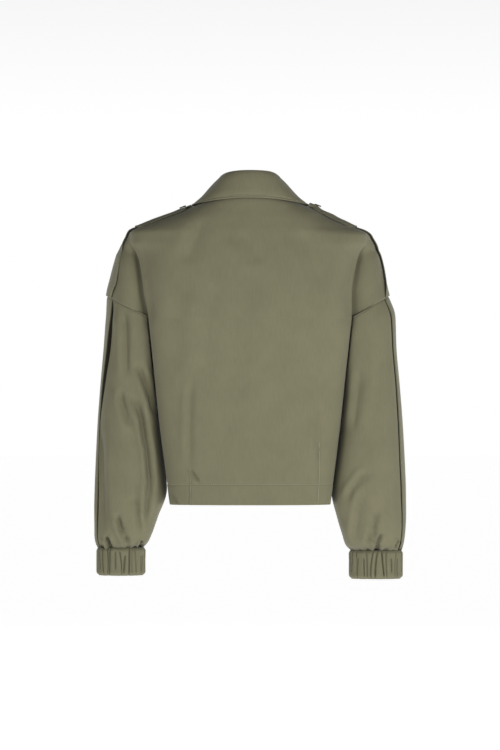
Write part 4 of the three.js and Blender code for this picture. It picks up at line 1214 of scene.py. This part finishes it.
pieces = {"back": make_back(), "collar": make_collar()}
for side in ("left", "right"):
    pieces[f"front_{side}"] = make_front(side)
    pieces[f"sleeve_{side}"] = make_sleeve(side)
    pieces[f"cuff_{side}"] = make_cuff(side)
    pieces[f"flap_{side}"] = make_flap(side)
    pieces[f"lapel_{side}"] = make_lapel(side)
    pieces[f"epaulette_{side}"] = make_strap(side)

thread = Thread()


def sew_edge(name, edge, stitch=STITCH_IN, grid=0):
    thread.sew(*stitch_line(pieces[name], grid, edge, stitch))


for name in ("back", "front_left", "front_right"):
    sew_edge(name, "bottom", HEM_DEPTH + 0.6, 1)
sew_edge("collar", "bottom", COLLAR_STITCH_IN)
for side in ("left", "right"):
    for edge in ("left", "right"):
        sew_edge(f"flap_{side}", edge)
    for edge in ("left", "right", "bottom"):
        sew_edge(f"epaulette_{side}", edge)
    sew_edge(f"lapel_{side}", "left")
for path in TUCKS:
    line = np.array(path, float)
    z = np.linspace(line[0, 1], line[-1, 1], 60)
    x = np.interp(-z, -line[:, 1], line[:, 0]) + TUCK_STITCH_IN
    behind = pieces["back"].points[:, 1] < -60
    points, normals = pieces["back"].points[behind], pieces["back"].normals()[behind]
    nearest = [int(np.argmin((points[:, 0] - a) ** 2 + (points[:, 2] - b) ** 2)) for a, b in zip(x, z)]
    y = points[nearest, 1]
    thread.sew(np.stack([x, y, z], -1), normals[nearest])

# The cut of what shows of each piece: width and length in metres, area in square metres, how it is held.
CUT = {
    "back": (0.70, 0.68, 0.305, "draped", ["front_left", "front_right"]),
    "front": (0.38, 0.67, 0.142, "draped", ["back"]),
    "sleeve": (0.49, 0.48, 0.209, "gathered", ["cuff"]),
    "cuff": (0.36, 0.064, 0.0199, "gathered", ["sleeve"]),
    "collar": (0.37, 0.14, 0.034, "folded", ["back"]),
    "flap": (0.28, 0.30, 0.04, "laid", ["front", "back"]),
    "lapel": (0.06, 0.18, 0.0056, "laid", ["front"]),
    "epaulette": (0.052, 0.11, 0.0048, "laid", ["flap"]),
}
shells = {name: shell(f"cloth_{name}", name, cloth) for name, cloth in pieces.items()}
for name, item in shells.items():
    kind, _, side = name.partition("_")
    width, length, area, held, under = CUT[kind]
    rests = [other if other in shells else f"{other}_{side}" for other in under]
thread.item("topstitching")
BUTTON_FOLLOWS = 0.75
STRAP_BUTTON, FRONT_BUTTON = (6.5, 2.4), (9, 3)
for side in ("left", "right"):
    lift = BUTTON_FOLLOWS * STRAP_TIPS[side]["lift"]
    button_item(f"strap_button_{side}", f"epaulette_button_{side}", *STRAP_BUTTON, lift)
for i in (1, 2, 3):
    button_item(f"button_{i}", f"front_button_{i}", *FRONT_BUTTON)


# Camera, light and floor

MM_PER_PIXEL = 1.85
DISTANCE = 8.0
NECK_PIXEL_Y = 208
FRAME_PIXELS = 750
CENTRE_Z = (NECK_PIXEL_Y - FRAME_PIXELS / 2) * MM_PER_PIXEL * MM
FRAME_HEIGHT = FRAME_PIXELS * MM_PER_PIXEL * MM
SENSOR = 36

camera_data = bpy.data.cameras.new("camera")
camera_data.sensor_fit = "VERTICAL"
camera_data.sensor_height = SENSOR
camera_data.lens = SENSOR * DISTANCE / FRAME_HEIGHT
camera = add_object("camera", camera_data)
camera.location = (0, -DISTANCE, CENTRE_Z)
camera.rotation_euler = (math.radians(90), 0, 0)
bpy.context.scene.camera = camera


def area_light(name, place, target, size, power_w):
    data = bpy.data.lights.new(name, "AREA")
    data.shape = "RECTANGLE"
    data.size, data.size_y = size
    data.energy = power_w
    lamp = add_object(name, data)
    lamp.location = place
    lamp.rotation_euler = (Vector(target) - Vector(place)).to_track_quat("-Z", "Y").to_euler()


area_light("key", (2.4, -3.1, -1.0), (0, 0, -0.3), (1.1, 1.3), 108)
area_light("fill", (-0.6, -4.9, -0.8), (0, 0, -0.35), (1.6, 1.6), 92)
area_light("front_left", (-2.4, 3.0, -0.4), (0, 0, -0.3), (1.4, 1.8), 26)
area_light("front_right", (2.2, 3.2, -0.4), (0, 0, -0.3), (1.4, 1.8), 32)

world = bpy.data.worlds.new("studio")
bpy.context.scene.world = world
world.use_nodes = True
sky = ShaderTree(world.node_tree)
height = sky.add("SeparateXYZ", {"Vector": sky.add("TexCoord", {}, "Generated")}, "Z")
colour = sky.ramp(height, WHITE, (0.06, 0.06, 0.06, 1), (0.06, 0.4))
sky.feed(world.node_tree.nodes["Background"], {"Color": colour, "Strength": 1.0})

FLOOR_Z = -1.02
FLOOR_HALF = 30
corners = [(x * FLOOR_HALF, y * FLOOR_HALF, FLOOR_Z) for x, y in ((-1, -1), (1, -1), (1, 1), (-1, 1))]
floor_mesh = bpy.data.meshes.new("floor")
floor_mesh.from_pydata(corners, [], [(0, 1, 2, 3)])
floor_mesh.materials.append(node_material("pale_floor", build_floor))
add_object("floor", floor_mesh)
bpy.context.scene.view_settings.view_transform = "Standard"
